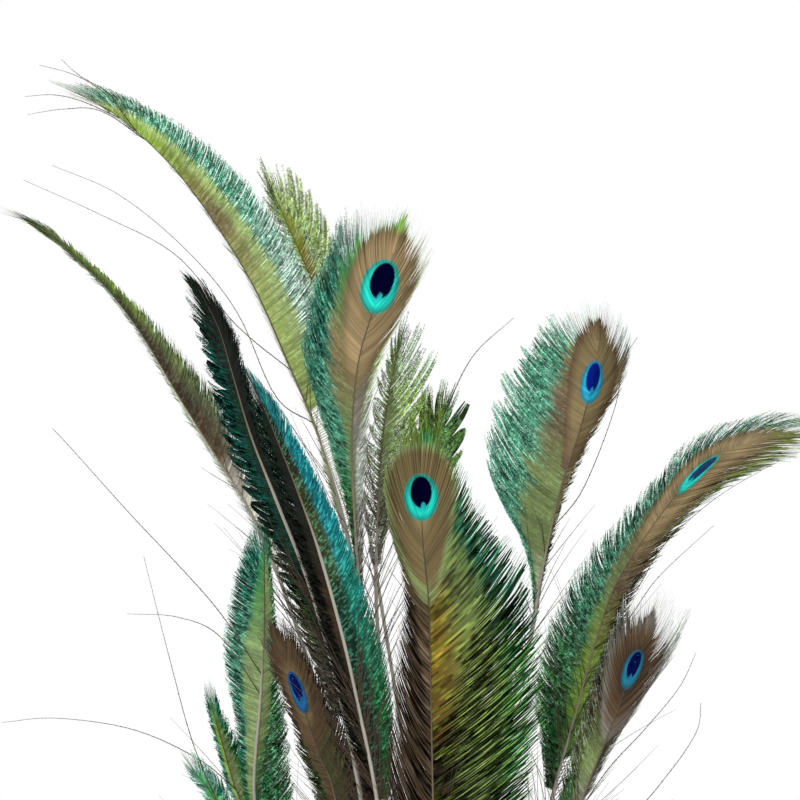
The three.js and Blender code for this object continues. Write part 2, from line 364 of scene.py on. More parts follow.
@dataclass
class Strands:
    """Barbs as ribbons along paths, each ribbon's edges carrying barbules.

    `path` and `normal` have the shape (strand, step, 3), `width`, `twist` and `fringe` (strand, step)
    and `facts` (strand, step, 10).
    """

    path: Array
    normal: Array
    width: Array
    twist: Array
    fringe: Array
    facts: Array

    RIBBON_CELL = (0.36, 0.64)  # where the ribbon's edges lie across its cell of the bake
    LEFT_CELL = (0.36, 0.33, 0.02)  # and where the corners of a barbule on each side of it do
    RIGHT_CELL = (0.64, 0.98, 0.67)
    BARBULE_BASE = 0.5
    BARBULE_STEP = 0.85
    BARBULE_REACH = (0.6, 1.25)
    BARBULE_ANGLES = (28, 62)
    BARBULE_LIFT = 0.22
    BARBULE_TONES = 0.12
    BARBULE_SHADES = (-0.12, 0.34)  # the mean and spread of the shade's logarithm
    SHORTEST_FRINGE = 0.25
    INSET = 0.6  # where a barbule starts, as a share of the ribbon's half width

    def sides(self) -> tuple[Array, Array]:
        """The unit vectors along the paths and across the ribbons, which the twist turns.

        Returns:
            The vectors along, and those across: square to path and normal, turned by the twist.
        """
        along = unit(np.gradient(self.path, axis=1))
        across = unit(np.cross(along, self.normal))
        up = np.cross(across, along)
        return along, across * np.cos(self.twist)[..., None] + up * np.sin(self.twist)[..., None]

    def ribbons(self, material: int) -> Surface:
        """Two edge points at each step, half a width to each side, and a quad between steps.

        Args:
            material: the material's number.

        Returns:
            All the ribbons as one surface.
        """
        count, steps = self.width.shape
        _, across = self.sides()
        offset = across * self.width[..., None]
        points = np.stack([self.path - offset, self.path + offset], axis=2)
        facts = np.repeat(self.facts[:, :, None, :], 2, axis=2)
        edge = np.broadcast_to(np.array(self.RIBBON_CELL)[None, None, :, None], (count, steps, 2, 1))
        facts = np.concatenate([facts, edge], axis=-1)
        low = 2 * ((np.arange(count) * steps)[:, None] + np.arange(steps - 1)[None, :])
        quads = np.stack([low, low + 1, low + 3, low + 2], axis=-1).reshape(-1, 4)
        return Surface(points.reshape(-1, 3), quads, facts.reshape(-1, len(Fact)), material)

    def barbules(self, rng: np.random.Generator, material: int) -> Surface:
        """Small triangles on both edges of the ribbons, which point outward and to the barb's tip.

        Each one's base lies along the ribbon. Its point stands off the base's middle by the fringe's
        length, at an angle between outward and forward, and a little off the vane.

        Args:
            rng: the feather's random numbers.
            material: the material's number.

        Returns:
            The triangles as one surface.
        """
        count, steps = self.width.shape
        along, across = self.sides()
        lengths = np.linalg.norm(np.diff(self.path, axis=1), axis=2).sum(axis=1)
        most = max(2, int(np.percentile(lengths, 90) / self.BARBULE_STEP))
        place = (np.arange(most)[None, :, None] + rng.random((count, most, 2))) / most * (steps - 1.001)
        i = place.astype(int)
        t = place - i
        strand = np.arange(count)[:, None, None]

        def read(table: Array) -> Array:
            """A table's values between its steps."""
            share = t if table.ndim == 2 else t[..., None]
            return table[strand, i] * (1 - share) + table[strand, i + 1] * share

        fringe = read(self.fringe)
        kept = rng.random(place.shape) < (lengths / lengths.max())[:, None, None]
        kept = kept & (fringe > self.SHORTEST_FRINGE)
        side = np.broadcast_to(np.array([-1.0, 1.0]), place.shape)[kept]
        base, forward, outward = read(self.path)[kept], unit(read(along)[kept]), unit(read(across)[kept])
        normal, facts, width = (read(table)[kept] for table in (self.normal, self.facts, self.width))
        reach = fringe[kept] * rng.uniform(*self.BARBULE_REACH, side.shape)
        angle = np.radians(rng.uniform(*self.BARBULE_ANGLES, side.shape))[:, None]
        lift = rng.normal(0, self.BARBULE_LIFT, side.shape)[:, None]
        edge = base + outward * (side * width * self.INSET)[:, None]
        direction = outward * side[:, None] * np.cos(angle) + forward * np.sin(angle) + normal * lift
        point = edge + reach[:, None] * direction
        low, high = edge - forward * self.BARBULE_BASE / 2, edge + forward * self.BARBULE_BASE / 2
        on_right = side[:, None] > 0
        points = np.stack([low, np.where(on_right, point, high), np.where(on_right, high, point)], 1)
        cell = np.array([self.LEFT_CELL, self.RIGHT_CELL])[(side > 0).astype(int)]
        span = self.BARBULE_BASE / 2 / np.maximum(lengths, 1)
        span = np.broadcast_to(span[:, None, None], kept.shape)[kept]
        shift = span[:, None] * np.where(on_right, np.array([-1, 0, 1]), np.array([-1, 1, 0]))
        facts = np.repeat(facts[:, None, :], 3, axis=1)
        facts[..., Fact.SHARE] = np.clip(facts[..., Fact.SHARE] + shift, 0, 1)
        facts[..., Fact.CHANCE] += rng.normal(0, self.BARBULE_TONES, side.shape)[:, None]
        facts[..., Fact.SHADE] *= np.exp(rng.normal(*self.BARBULE_SHADES, side.shape))[:, None]
        facts = np.concatenate([facts, cell[..., None]], axis=-1)
        triangles = np.arange(points.shape[0] * 3).reshape(-1, 3)
        return Surface(points.reshape(-1, 3), triangles, facts.reshape(-1, len(Fact)), material)


@dataclass
class Barbs:
    """The barbs of one half vane, laid from the shaft to the vane's outline.

    The outline is the half's width at the height v, rounded off at the crown as the root of
    1 - ((v - 1 + c) / c)^2, c being the crown's share of the vane. Tips stand at even steps along it.
    """

    shaft: Shaft
    half: HalfVane
    side: int
    rng: np.random.Generator
    first_strand: int = 0
    steps: int = 20

    SAMPLES = 3000
    CROWN = 0.12
    FINE_CROWN = (0.86, 1.0)  # the heights between which the barbs grow finer
    TIP_SPREAD = 0.33  # how far a tip stands from its even place at most, in pitches
    BEND = 0.62  # how far out along the barb its curve's middle point stands
    LONGEST_DROP = 0.85
    # Above the height CROWN_DROP roots stand lower, by a power of the height over CROWN_SPAN.
    CROWN_DROP = 0.78
    CROWN_SPAN = 0.22
    CROWN_POWER = 1.4
    CLUMP_POWER = 2.5
    LOCK_WAVES = ((0.35, 0.9), (0.25, 2.3))
    SPACINGS = (0.2, 4.5)
    LENGTHS = (0.55, 1.1)
    LENGTH_SPREADS = (0.7, 0.45)  # from lock to lock, and from barb to barb
    LOCK_LIMITS = (-2, 1.2)
    LOCK_SHADE = 0.1
    CROWN_SHORTER = 0.1
    CROWN_CLUMP = 0.6  # how much less the barbs clump at the crown
    WEB_EDGE = 0.12  # half the share over which web turns to loose herl
    WEB_SPREAD = 0.03
    SIDE_WAVE = (0.35, 3.5)  # how far a loose barb waves in the vane, and over what length
    LIFT_WAVE = (0.25, 5.0)  # the same off the vane
    LIFT_SPREAD = 0.8
    CLOSED = 0.56  # half a close barb's width, as a share of its spacing
    TAPER = 0.75
    FRINGE_TAPER = 0.4
    FINER = 0.2  # how much finer at the crown the fringe and the barbs behind are
    TWISTS = (0.28, 0.35)  # a loose barb's mean twist and its spread
    WEB_TWIST = 0.2  # the share of the spread that a close barb has
    COMB_SPREAD = 0.006
    COMB_BREADTH = (0.2, 0.35)  # half a bare barb's width, and what clumping adds to it
    COMB_FRINGE = 0.1
    UNDER_PITCH = 1.5
    UNDER_PITCH_LIMIT = 1.3
    UNDER_LIFT = -0.9
    UNDER_START = 0.2  # the share of the barb over which it sinks behind the others
    UNDER_SHADES = (0.92, 0.2)  # painted shade of the barbs behind: their light in the web, and in the loose herl
    UNDER_GAP_SHADE = 0.2  # how much less of the painted dark-streak shade reaches the web there
    UNDER_LENGTH = 0.93
    UNDER_CLOSED = 0.7
    UNDER_TWIST = 0.05

    def outline(self) -> tuple[Array, Array]:
        """The vane's outline, whose points stand closer together towards the crown.

        Returns:
            The points (x, y) and their distances along it.
        """
        v = 1 - (1 - np.linspace(0, 1, self.SAMPLES)) ** 2
        beyond = np.clip((v - 1 + self.CROWN) / self.CROWN, 0, 1)
        line = np.stack([profile(self.half.widths, v) * np.sqrt(1 - beyond**2), v * self.shaft.plan.vane], 1)
        return line, arc_lengths(line)

    def tips(self, under: bool) -> tuple[Array, Array]:
        """The barbs' tips and their distances along the outline.

        The number of barbs up to each point is the sum of the outline's steps over the pitch there.

        Args:
            under: whether these are the barbs behind the others, whose pitch is coarser up to a limit.

        Returns:
            The tips (x, y), a third of a step off their even places at most, and their distances.
        """
        line, arc = self.outline()
        pitch = profile(self.half.pitch, line[:, 1] / self.shaft.plan.vane)
        pitch = np.minimum(self.UNDER_PITCH * pitch, self.UNDER_PITCH_LIMIT) if under else pitch
        number = np.concatenate([[0], np.cumsum(np.diff(arc) / pitch[1:])])
        count = max(8, int(number[-1]))
        stray = self.rng.uniform(-self.TIP_SPREAD, self.TIP_SPREAD, count)
        place = (np.arange(count) + 0.5 + stray) / count * number[-1]
        s = np.interp(place, number, arc)
        return np.stack([np.interp(s, arc, line[:, k]) for k in range(2)], 1), s

    def roots(self, tips: Array) -> Array:
        """The barbs' roots: below the tips by the lean, and further below towards the crown.

        Args:
            tips: the barbs' tips (x, y).

        Returns:
            The height of each root, which never falls from one barb to the next.
        """
        vane = self.shaft.plan.vane
        v = tips[:, 1] / vane
        lean = np.radians(np.interp(v, [0, 1], self.half.lean))
        beyond = np.clip((v - self.CROWN_DROP) / self.CROWN_SPAN, 0, 1)
        crown = self.shaft.plan.bare_crown * vane * beyond**self.CROWN_POWER
        drop = np.minimum(tips[:, 0] / np.tan(lean) + crown, self.LONGEST_DROP * tips[:, 1])
        return np.maximum.accumulate(tips[:, 1] - drop)

    def locks(self, s: Array) -> tuple[Array, Array]:
        """The locks that the barbs clump in: whole steps of s, which two slow waves make unequal.

        Args:
            s: the tips' distances along the outline.

        Returns:
            The number of each barb's lock, and the barb at its lock's middle.
        """
        phases = self.rng.uniform(0, PHASE, 2)
        even = s / self.half.lock
        (tall, often), (low, oftener) = self.LOCK_WAVES
        place = even + tall * np.sin(often * even + phases[0])
        place = place + low * np.sin(oftener * even + phases[1])
        number = np.floor(place - place.min()).astype(int)
        order = np.arange(len(s))
        sums, counts = np.bincount(number, order), np.maximum(np.bincount(number), 1)
        return number, np.round(sums / counts).astype(int)[number]

    def spacing(self, flat: Array) -> Array:
        """The distance from each barb to the next one, square to the barb.

        Args:
            flat: the barbs' points (x, y), by barb and step.

        Returns:
            The larger of the distances to the two neighbours at each point, within limits.
        """
        along = unit(np.gradient(flat, axis=1))
        step = np.gradient(flat, axis=0)
        across = np.abs(along[..., 0] * step[..., 1] - along[..., 1] * step[..., 0])
        wider = np.maximum(across, np.maximum(np.roll(across, 1, 0), np.roll(across, -1, 0)))
        return np.clip(wider, *self.SPACINGS)

    def curves(self, tip: Array, root: Array, t: Array) -> Array:
        """Quadratic curves in the vane's plane, from the shaft to the tips.

        Args:
            tip: the barbs' tips (x, y).
            root: the heights of their roots.
            t: the curves' parameter, by barb and step.

        Returns:
            (1 - t)^2 (0, root) + 2t (1 - t) (BEND x, root + sag times the rise) + t^2 tip.
        """
        start = np.stack([np.zeros(len(root)), root], 1)
        bend = np.stack([self.BEND * tip[:, 0], root + self.half.sag * (tip[:, 1] - root)], 1)
        return (
            ((1 - t) ** 2)[..., None] * start[:, None]
            + (2 * t * (1 - t))[..., None] * bend[:, None]
            + (t**2)[..., None] * tip[:, None]
        )

    def thickness(
        self, flat: Array, loose: Array, share: Array, crown: Array, in_comb: Array, under: bool
    ) -> tuple[Array, Array]:
        """Half the barbs' widths and the lengths of their barbules.

        A close barb is as wide as its spacing allows. A loose one is thinner, tapers with the cube of
        its share, and is finer still at the crown and in the comb.

        Args:
            flat: the barbs' points (x, y), by barb and step.
            loose: 0 in the web and 1 in the loose herl.
            share: the share of each barb's length.
            crown: how near each barb is to the crown.
            in_comb: whether each barb stands in the comb.
            under: whether these are the barbs behind the others.

        Returns:
            The half widths and the barbules' lengths, by barb and step.
        """
        half = self.half
        spacing = self.spacing(flat)
        closed = (self.UNDER_CLOSED if under else self.CLOSED) * spacing
        apart = closed if under else half.breadth
        width = (closed * (1 - loose) + apart * loose) * (1 - self.TAPER * loose * share**3)
        finer = half.thinning + self.FINER
        width = width * (1 - (finer if under else half.thinning) * crown[:, None] * loose)
        bare, clumped = self.COMB_BREADTH
        width = np.where(in_comb[:, None], np.minimum(width, bare + clumped * half.comb_clump), width)
        fringe = half.fringe * loose * (1 - self.FRINGE_TAPER * share**3) * (1 - finer * crown)[:, None]
        return width, fringe * np.where(in_comb, self.COMB_FRINGE, 1.0)[:, None]

    def strands(self, under: bool) -> Strands:
        """The barbs' curves, drawn together in their locks, waved, and carried onto the folded vane.

        Towards its tip a barb is drawn to its lock's middle by a power of its share. The loose part
        waves in the vane and off it, and both waves are sines of the distance along the barb.

        Args:
            under: whether these are the barbs that fill in behind the others, darkened by painted shade.

        Returns:
            The strands, with their facts.
        """
        half, plan, rng = self.half, self.shaft.plan, self.rng
        tip, s = self.tips(under)
        root = self.roots(tip)
        comb = half.comb + rng.normal(0, self.COMB_SPREAD, len(s)) * (half.comb > 0)
        in_comb = tip[:, 1] < comb * plan.vane
        kept = ~in_comb if under else ~in_comb | (np.arange(len(s)) % 2 == 0) | (half.comb_clump > 0)
        tip, s, root, in_comb = tip[kept], s[kept], root[kept], in_comb[kept]
        count = len(s)
        number, middle = self.locks(s)
        lock = rng.normal(0, 1, (number.max() + 1, 3))[number]
        chance = rng.random(count)
        v_tip = np.clip(tip[:, 1] / plan.vane, 0, 1)
        crown = smoothstep(*self.FINE_CROWN, v_tip)
        by_lock, by_barb = self.LENGTH_SPREADS
        uneven = by_lock * np.clip(lock[:, 0], *self.LOCK_LIMITS) + rng.normal(0, by_barb, count)
        length = np.clip(1 + half.ragged * uneven, *self.LENGTHS) * (1 - self.CROWN_SHORTER * crown)
        length = length * (self.UNDER_LENGTH if under else 1.0)
        t = np.linspace(0, 1, self.steps)[None, :] * length[:, None]
        share = np.broadcast_to(np.linspace(0, 1, self.steps), t.shape)
        clump = np.where(in_comb, half.comb_clump, half.clump) * (1 - self.CROWN_CLUMP * crown)
        drawn = clump[:, None] * share**self.CLUMP_POWER
        flat = self.curves(tip, root, t) + drawn[..., None] * (tip[middle] - tip)[:, None]
        web = profile(half.web, v_tip) + rng.normal(0, self.WEB_SPREAD, count) + self.WEB_SPREAD * lock[:, 1]
        loose = smoothstep(-self.WEB_EDGE, self.WEB_EDGE, share - web[:, None])
        phases = rng.uniform(0, PHASE, (2, count, 1))
        size = np.hypot(tip[:, 0], tip[:, 1] - root)[:, None]
        (aside, aside_length), (off, off_length) = self.SIDE_WAVE, self.LIFT_WAVE
        flat[..., 1] += aside * loose * np.sin(size * share / aside_length + phases[0]) * share
        lift = off * np.sin(size * share / off_length + phases[1]) * loose
        lift = lift + share**2 * (lock[:, 2, None] + rng.normal(0, self.LIFT_SPREAD, (count, 1)))
        lift = lift + (self.UNDER_LIFT * smoothstep(0, self.UNDER_START, share) if under else 0.0)
        x = np.maximum(flat[..., 0], 0)
        path, normal = self.shaft.on_vane(half.fold, self.side, x, flat[..., 1], lift)
        width, fringe = self.thickness(flat, loose, share, crown, in_comb, under)
        mean_twist, twist_spread = self.TWISTS
        turning = self.WEB_TWIST + (1 - self.WEB_TWIST) * loose
        twist = rng.normal(0, twist_spread, (count, 1)) * share * turning
        twist = (self.UNDER_TWIST if under else mean_twist) * loose + twist
        shade = (1 + self.LOCK_SHADE * lock[:, 1, None]) * np.ones_like(t)
        # painted shade: the barbs behind are darkened, most in the loose herl
        if under:
            in_web, in_herl = self.UNDER_SHADES
            fading = (in_web - in_herl) * half.gap_shade
            shade = shade * (in_web - fading * np.maximum(loose, half.web_shade_and_glints - self.UNDER_GAP_SHADE))
        eye = (plan.eye.at if plan.eye else 0.5) * plan.vane
        y, every = flat[..., 1], np.zeros_like(t)
        strand = self.first_strand + np.arange(count)[:, None] + every
        columns = (
            self.side * x, y - eye, y / plan.vane, share, chance[:, None] + every, loose,
            s[:, None] + every, share * size, shade, strand,
        )
        self.first_strand += count
        return Strands(path, normal, width, twist, fringe, np.stack(columns, -1))

    def surfaces(self, material: int) -> list[Surface]:
        """The fine upper barbs with their barbules, and the sparser ones behind them.

        Args:
            material: the material's number.

        Returns:
            Ribbons and barbules, and where the half is backed, the ribbons behind.
        """
        upper = self.strands(under=False)
        parts = [upper.ribbons(material), upper.barbules(self.rng, material)]
        if self.half.backed:
            parts.append(self.strands(under=True).ribbons(material))
        return parts


@dataclass
class Herls:
    """The long single barbs of a feather, each of them two crossed ribbons along a smooth line."""

    shaft: Shaft
    first_strand: int
    rng: np.random.Generator

    STEPS = 28
    WIDTH = 0.24
    WISP_WIDTH = 0.17
    TAPER = 0.7
    FRINGE_TAPER = 0.6
    WISP_HEIGHTS = (-0.4, 0.25)  # from below the vane to a quarter of the way up it
    WISP_DIRECTIONS = (-0.5, 1.1)
    WISP_FORWARD = 0.5
    WISP_LEANS = (12, 32)
    WISP_LENGTHS = (22, 70)
    WISP_BENDS = (-0.1, 0.3)
    FRINGE = 0.65
    GRAIN = 9  # how far apart two herls lie in the grain of their finish
    SHADE = 0.8

    def long_lines(self) -> tuple[Array, Array]:
        """The plan's long barbs.

        Returns:
            Smooth lines from the shaft through each one's points, and the heights of their roots.
        """
        plan = self.shaft.plan
        heights = np.array([at for at, _ in plan.herls])
        roots = self.shaft.axes(self.shaft.bare + plan.vane * heights)[0]
        lines = [
            curve_through(np.vstack([root, np.array(points, float)]), self.STEPS)
            for root, (_, points) in zip(roots, plan.herls)
        ]
        return np.array(lines).reshape(-1, self.STEPS, 3), heights

    def wisp_lines(self) -> tuple[Array, Array]:
        """Loose barbs low on the vane.

        A wisp leaves the shaft at its lean, to the left or the right and a little forward, and bends
        sideways by a share of its length, with the square of the distance.

        Returns:
            Their lines, and the heights of their roots.
        """
        plan, rng, count = self.shaft.plan, self.rng, self.shaft.plan.wisps
        heights = rng.uniform(*self.WISP_HEIGHTS, count)
        root, along, front, right = self.shaft.axes(self.shaft.bare + plan.vane * heights)
        angle = rng.uniform(*self.WISP_DIRECTIONS, count) + math.pi * (np.arange(count) % 2)
        forward = self.WISP_FORWARD * np.abs(np.sin(angle))[:, None]
        away = right * np.cos(angle)[:, None] + front * forward
        lean = np.radians(rng.uniform(*self.WISP_LEANS, count))[:, None]
        length = rng.uniform(*self.WISP_LENGTHS, count)[:, None, None]
        share = np.linspace(0, 1, self.STEPS)[None, :, None]
        straight = along * np.cos(lean) + away * np.sin(lean)
        bend = away * rng.uniform(*self.WISP_BENDS, count)[:, None]
        lines = root[:, None] + length * (share * straight[:, None] + share**2 * bend[:, None])
        return lines, heights

    def surfaces(self, material: int) -> list[Surface]:
        """The ribbons, half a width to each side, and short barbules along one of each pair.

        Args:
            material: the material's number.

        Returns:
            The ribbons, the barbules, and the ribbons that cross them.
        """
        long_lines, long_heights = self.long_lines()
        wisp_lines, wisp_heights = self.wisp_lines()
        path = np.concatenate([long_lines, wisp_lines])
        height = np.concatenate([long_heights, wisp_heights])[:, None]
        count = len(path)
        kinds = [np.full(len(long_lines), self.WIDTH), np.full(len(wisp_lines), self.WISP_WIDTH)]
        breadth = np.concatenate(kinds)[:, None]
        share = np.broadcast_to(np.linspace(0, 1, self.STEPS), (count, self.STEPS))
        normal = np.broadcast_to(np.array([0.0, -1.0, 0.0]), path.shape)
        size = np.linalg.norm(np.diff(path, axis=1), axis=2).sum(axis=1)[:, None]
        chance = self.rng.random((count, 1))
        zero = np.zeros_like(share)
        width = breadth * (1 - self.TAPER * share)
        fringe = self.FRINGE * (1 - self.FRINGE_TAPER * share) * (breadth / self.WIDTH)
        parts = []
        for turn in (0.0, math.pi / 2):
            strand = self.first_strand + np.arange(count)[:, None] + zero
            columns = (
                zero, zero, height + zero, share, chance + zero, 1 + zero,
                strand * self.GRAIN, share * size, self.SHADE + zero, strand,
            )
            strands = Strands(path, normal, width, zero + turn, fringe, np.stack(columns, -1))
            parts.append(strands.ribbons(material))
            if turn == 0.0:
                parts.append(strands.barbules(self.rng, material))
            self.first_strand += count
        return parts


@dataclass
class Quill:
    """The bare shaft: a round tube along the feather's line, thinner towards the crown."""

    shaft: Shaft
    rings: int = 150
    sides: int = 12
    slimness: float = 0.56  # its radius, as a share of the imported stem's
    reach: float = 0.95
    under_eye: float = 0.9  # how much of the eye's lower half the quill leaves free
    thinning: float = 0.92
    thinning_power: float = 0.36
    cut_share: float = 0.55  # the cut end's share of the full radius
    cut_length: float = 14.0
    point: float = 0.02

    def mesh(self) -> tuple[Array, Array, Array]:
        """Rings of points round the line, whose radius shrinks quickly where the vane starts.

        Up the vane the radius is 1 - thinning times a power of the height; where the shaft stays pale,
        that height starts late. The lower end is drawn in as a quill's is, and both ends are closed.

        Returns:
            The points, the quads, and each point's height up the vane, distance and angle.
        """
        plan = self.shaft.plan
        reach = plan.eye.at - plan.eye.ring[1] * self.under_eye / plan.vane if plan.eye else self.reach
        top = self.shaft.bare + reach * plan.vane
        s = np.linspace(0, top, self.rings)
        v = (s - self.shaft.bare) / plan.vane
        v = np.where(v > 0, np.maximum(0.1 * v, (v - plan.pale) / (1 - plan.pale)), v)
        taper = 1 - self.thinning * np.clip(v, 0, 1) ** self.thinning_power
        cut = self.cut_share + (1 - self.cut_share) * np.clip(s / self.cut_length, 0, 1) ** 0.5
        radius = plan.quill * self.slimness * (taper * cut)
        radius[[0, -1]] = self.point
        point, _, front, right = self.shaft.axes(s)
        angle = full_turn(self.sides)
        spokes = front[:, None] * np.cos(angle)[:, None] + right[:, None] * np.sin(angle)[:, None]
        points = point[:, None] + spokes * radius[:, None, None]
        facts = np.stack(np.broadcast_arrays(v[:, None], s[:, None], angle[None, :]), -1)
        return points.reshape(-1, 3), tube_quads(self.rings, self.sides), facts.reshape(-1, 3)


def make_object(
    name: str, points: Array, faces: list[Array], materials: list[bpy.types.Material]
) -> bpy.types.Object:
    """Puts arrays of points and faces into a mesh object at the origin.

    Args:
        name: the piece's name.
        points: the points, in millimetres.
        faces: arrays of faces, one for each number of corners.
        materials: the materials of its slots.

    Returns:
        The object, linked to the scene, its faces smooth.
    """
    mesh = bpy.data.meshes.new(name)
    corners = np.concatenate([f.ravel() for f in faces]).astype(np.int32)
    sizes = np.concatenate([np.full(len(f), f.shape[1]) for f in faces])
    starts = np.concatenate([[0], np.cumsum(sizes)[:-1]]).astype(np.int32)
    mesh.vertices.add(len(points))
    mesh.vertices.foreach_set("co", (points * MM).astype(np.float32).ravel())
    mesh.loops.add(len(corners))
    mesh.loops.foreach_set("vertex_index", corners)
    mesh.polygons.add(len(starts))
    mesh.polygons.foreach_set("loop_start", starts)
    for material in materials:
        mesh.materials.append(material)
    mesh.update(calc_edges=True)
    mesh.polygons.foreach_set("use_smooth", np.ones(len(starts), bool))
    piece = bpy.data.objects.new(name, mesh)
    bpy.context.scene.collection.objects.link(piece)
    return piece


def add_vectors(piece: bpy.types.Object, name: str, values: Array) -> None:
    """Stores three numbers at each point of a piece."""
    data = piece.data.attributes.new(name, "FLOAT_VECTOR", "POINT").data
    data.foreach_set("vector", np.ascontiguousarray(values, np.float32).ravel())


@dataclass
class Feather:
    """One feather: its quill and its vane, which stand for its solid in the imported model."""

    plan: FeatherPlan
    horn: bpy.types.Material
    herl: bpy.types.Material

    CELL_ROWS = 6
    CELL_WIDTH = (0.06, 0.88)  # where a cell's used part starts, and its size
    CELL_HEIGHT = (0.03, 0.94)
    FACTS = {
        "place": [Fact.X, Fact.Y, Fact.V],
        "strand": [Fact.SHARE, Fact.CHANCE, Fact.LOOSE],
        "grain": [Fact.OVER, Fact.ALONG, Fact.SHADE],
    }

    def build(self) -> int:
        """Builds and dresses the quill and the vane.

        Returns:
            The number of faces.
        """
        plan = self.plan
        shaft = Shaft(plan)
        quill = self.quill(shaft)
        vane = self.vane(shaft)
        for piece in (quill, vane):
            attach(piece, BODY)
            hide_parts(plan.name)
        return len(quill.data.polygons) + len(vane.data.polygons)

    def quill(self, shaft: Shaft) -> bpy.types.Object:
        """The shaft's tube with its horn material.

        Args:
            shaft: the feather's line.

        Returns:
            The tube's object.
        """
        points, quads, facts = Quill(shaft).mesh()
        piece = make_object(self.plan.name + "_quill", points, [quads], [self.horn])
        add_vectors(piece, "shaft", facts)
        return piece

    def vane(self, shaft: Shaft) -> bpy.types.Object:
        """Both half vanes and the long herls as one piece, with a material for each side.

        Args:
            shaft: the feather's line.

        Returns:
            The vane's object, with the barbs' facts as attributes.
        """
        plan = self.plan
        surfaces: list[Surface] = []
        materials: list[bpy.types.Material] = []
        strands = 0
        for number, (half, side, word) in enumerate(((plan.left, -1, "left"), (plan.right, 1, "right"))):
            barbs = Barbs(shaft, half, side, np.random.default_rng([plan.stem, number]), strands)
            surfaces += barbs.surfaces(number)
            strands = barbs.first_strand
            materials.append(BarbMaterial(f"{plan.name}_{word}", half, plan.eye).data)
        herls = Herls(shaft, strands, np.random.default_rng([plan.stem, 2]))
        surfaces += herls.surfaces(2)
        materials.append(self.herl)
        offsets = np.concatenate([[0], np.cumsum([len(s.points) for s in surfaces])[:-1]])
        shifted = sorted(zip(surfaces, offsets), key=lambda pair: -pair[0].faces.shape[1])
        groups = [
            np.concatenate([s.faces + o for s, o in shifted if s.faces.shape[1] == corners])
            for corners in (4, 3)
        ]
        points = np.concatenate([s.points for s in surfaces])
        facts = np.concatenate([s.facts for s in surfaces])
        piece = make_object(plan.name + "_vane", points, groups, materials)
        numbers = np.concatenate([np.full(len(s.faces), s.material) for s, _ in shifted])
        piece.data.polygons.foreach_set("material_index", numbers.astype(np.int32))
        for name, columns in self.FACTS.items():
            add_vectors(piece, name, facts[:, columns])
        self.lay_out(piece, facts, herls.first_strand)
        return piece

    def lay_out(self, piece: bpy.types.Object, facts: Array, strands: int) -> None:
        """Gives each barb its own cell of the bake, in a few rows, with its length up the cell.

        Args:
            piece: the vane's object.
            facts: each point's facts.
            strands: the number of barbs and herls.
        """
        per_row = math.ceil(strands / self.CELL_ROWS)
        row, column = np.divmod(facts[:, Fact.STRAND], per_row)
        left, wide = self.CELL_WIDTH
        foot, tall = self.CELL_HEIGHT
        u = (column + left + wide * facts[:, Fact.ACROSS]) / per_row
        v = (row + foot + tall * facts[:, Fact.SHARE]) / self.CELL_ROWS
        corner = np.empty(len(piece.data.loops), np.int32)
        piece.data.loops.foreach_get("vertex_index", corner)
        layer = piece.data.uv_layers.new(name="OFBake")
        layer.data.foreach_set("uv", np.stack([u, v], 1)[corner].astype(np.float32).ravel())


class Socket:
    """A shader socket that sums, products and mixes are written on as Python expressions."""

    def __init__(self, material: "Material", link: bpy.types.NodeSocket) -> None:
        """Wraps an output socket of a material's nodes."""
        self.material = material
        self.link = link

    def apply(self, operation: str, *values: object) -> "Socket":
        """A Math node on these values."""
        return self.material.node("ShaderNodeMath", {"operation": operation}, dict(enumerate(values)))[0]

    def __add__(self, other: object) -> "Socket":
        """self + other."""
        return self.apply("ADD", self, other)

    __radd__ = __add__

    def __sub__(self, other: object) -> "Socket":
        """self - other."""
        return self.apply("SUBTRACT", self, other)

    def __rsub__(self, other: object) -> "Socket":
        """other - self."""
        return self.apply("SUBTRACT", other, self)

    def __mul__(self, other: object) -> "Socket":
        """self * other."""
        return self.apply("MULTIPLY", self, other)

    __rmul__ = __mul__

    def __truediv__(self, other: object) -> "Socket":
        """self / other."""
        return self.apply("DIVIDE", self, other)

    def __pow__(self, other: object) -> "Socket":
        """self ** other."""
        return self.apply("POWER", self, other)

    def least(self, other: object) -> "Socket":
        """The smaller of two values."""
        return self.apply("MINIMUM", self, other)

    def most(self, other: object) -> "Socket":
        """The larger of two values."""
        return self.apply("MAXIMUM", self, other)

    def ease(self, low: float, high: float) -> "Socket":
        """A smooth S over the value.

        Args:
            low: where the result is 0.
            high: where it is 1; this may be the smaller of the two.

        Returns:
            The eased value.
        """
        inputs = {0: self, 1: min(low, high), 2: max(low, high)}
        rising = self.material.node("ShaderNodeMapRange", {"interpolation_type": "SMOOTHSTEP"}, inputs)[0]
        return rising if low < high else 1 - rising


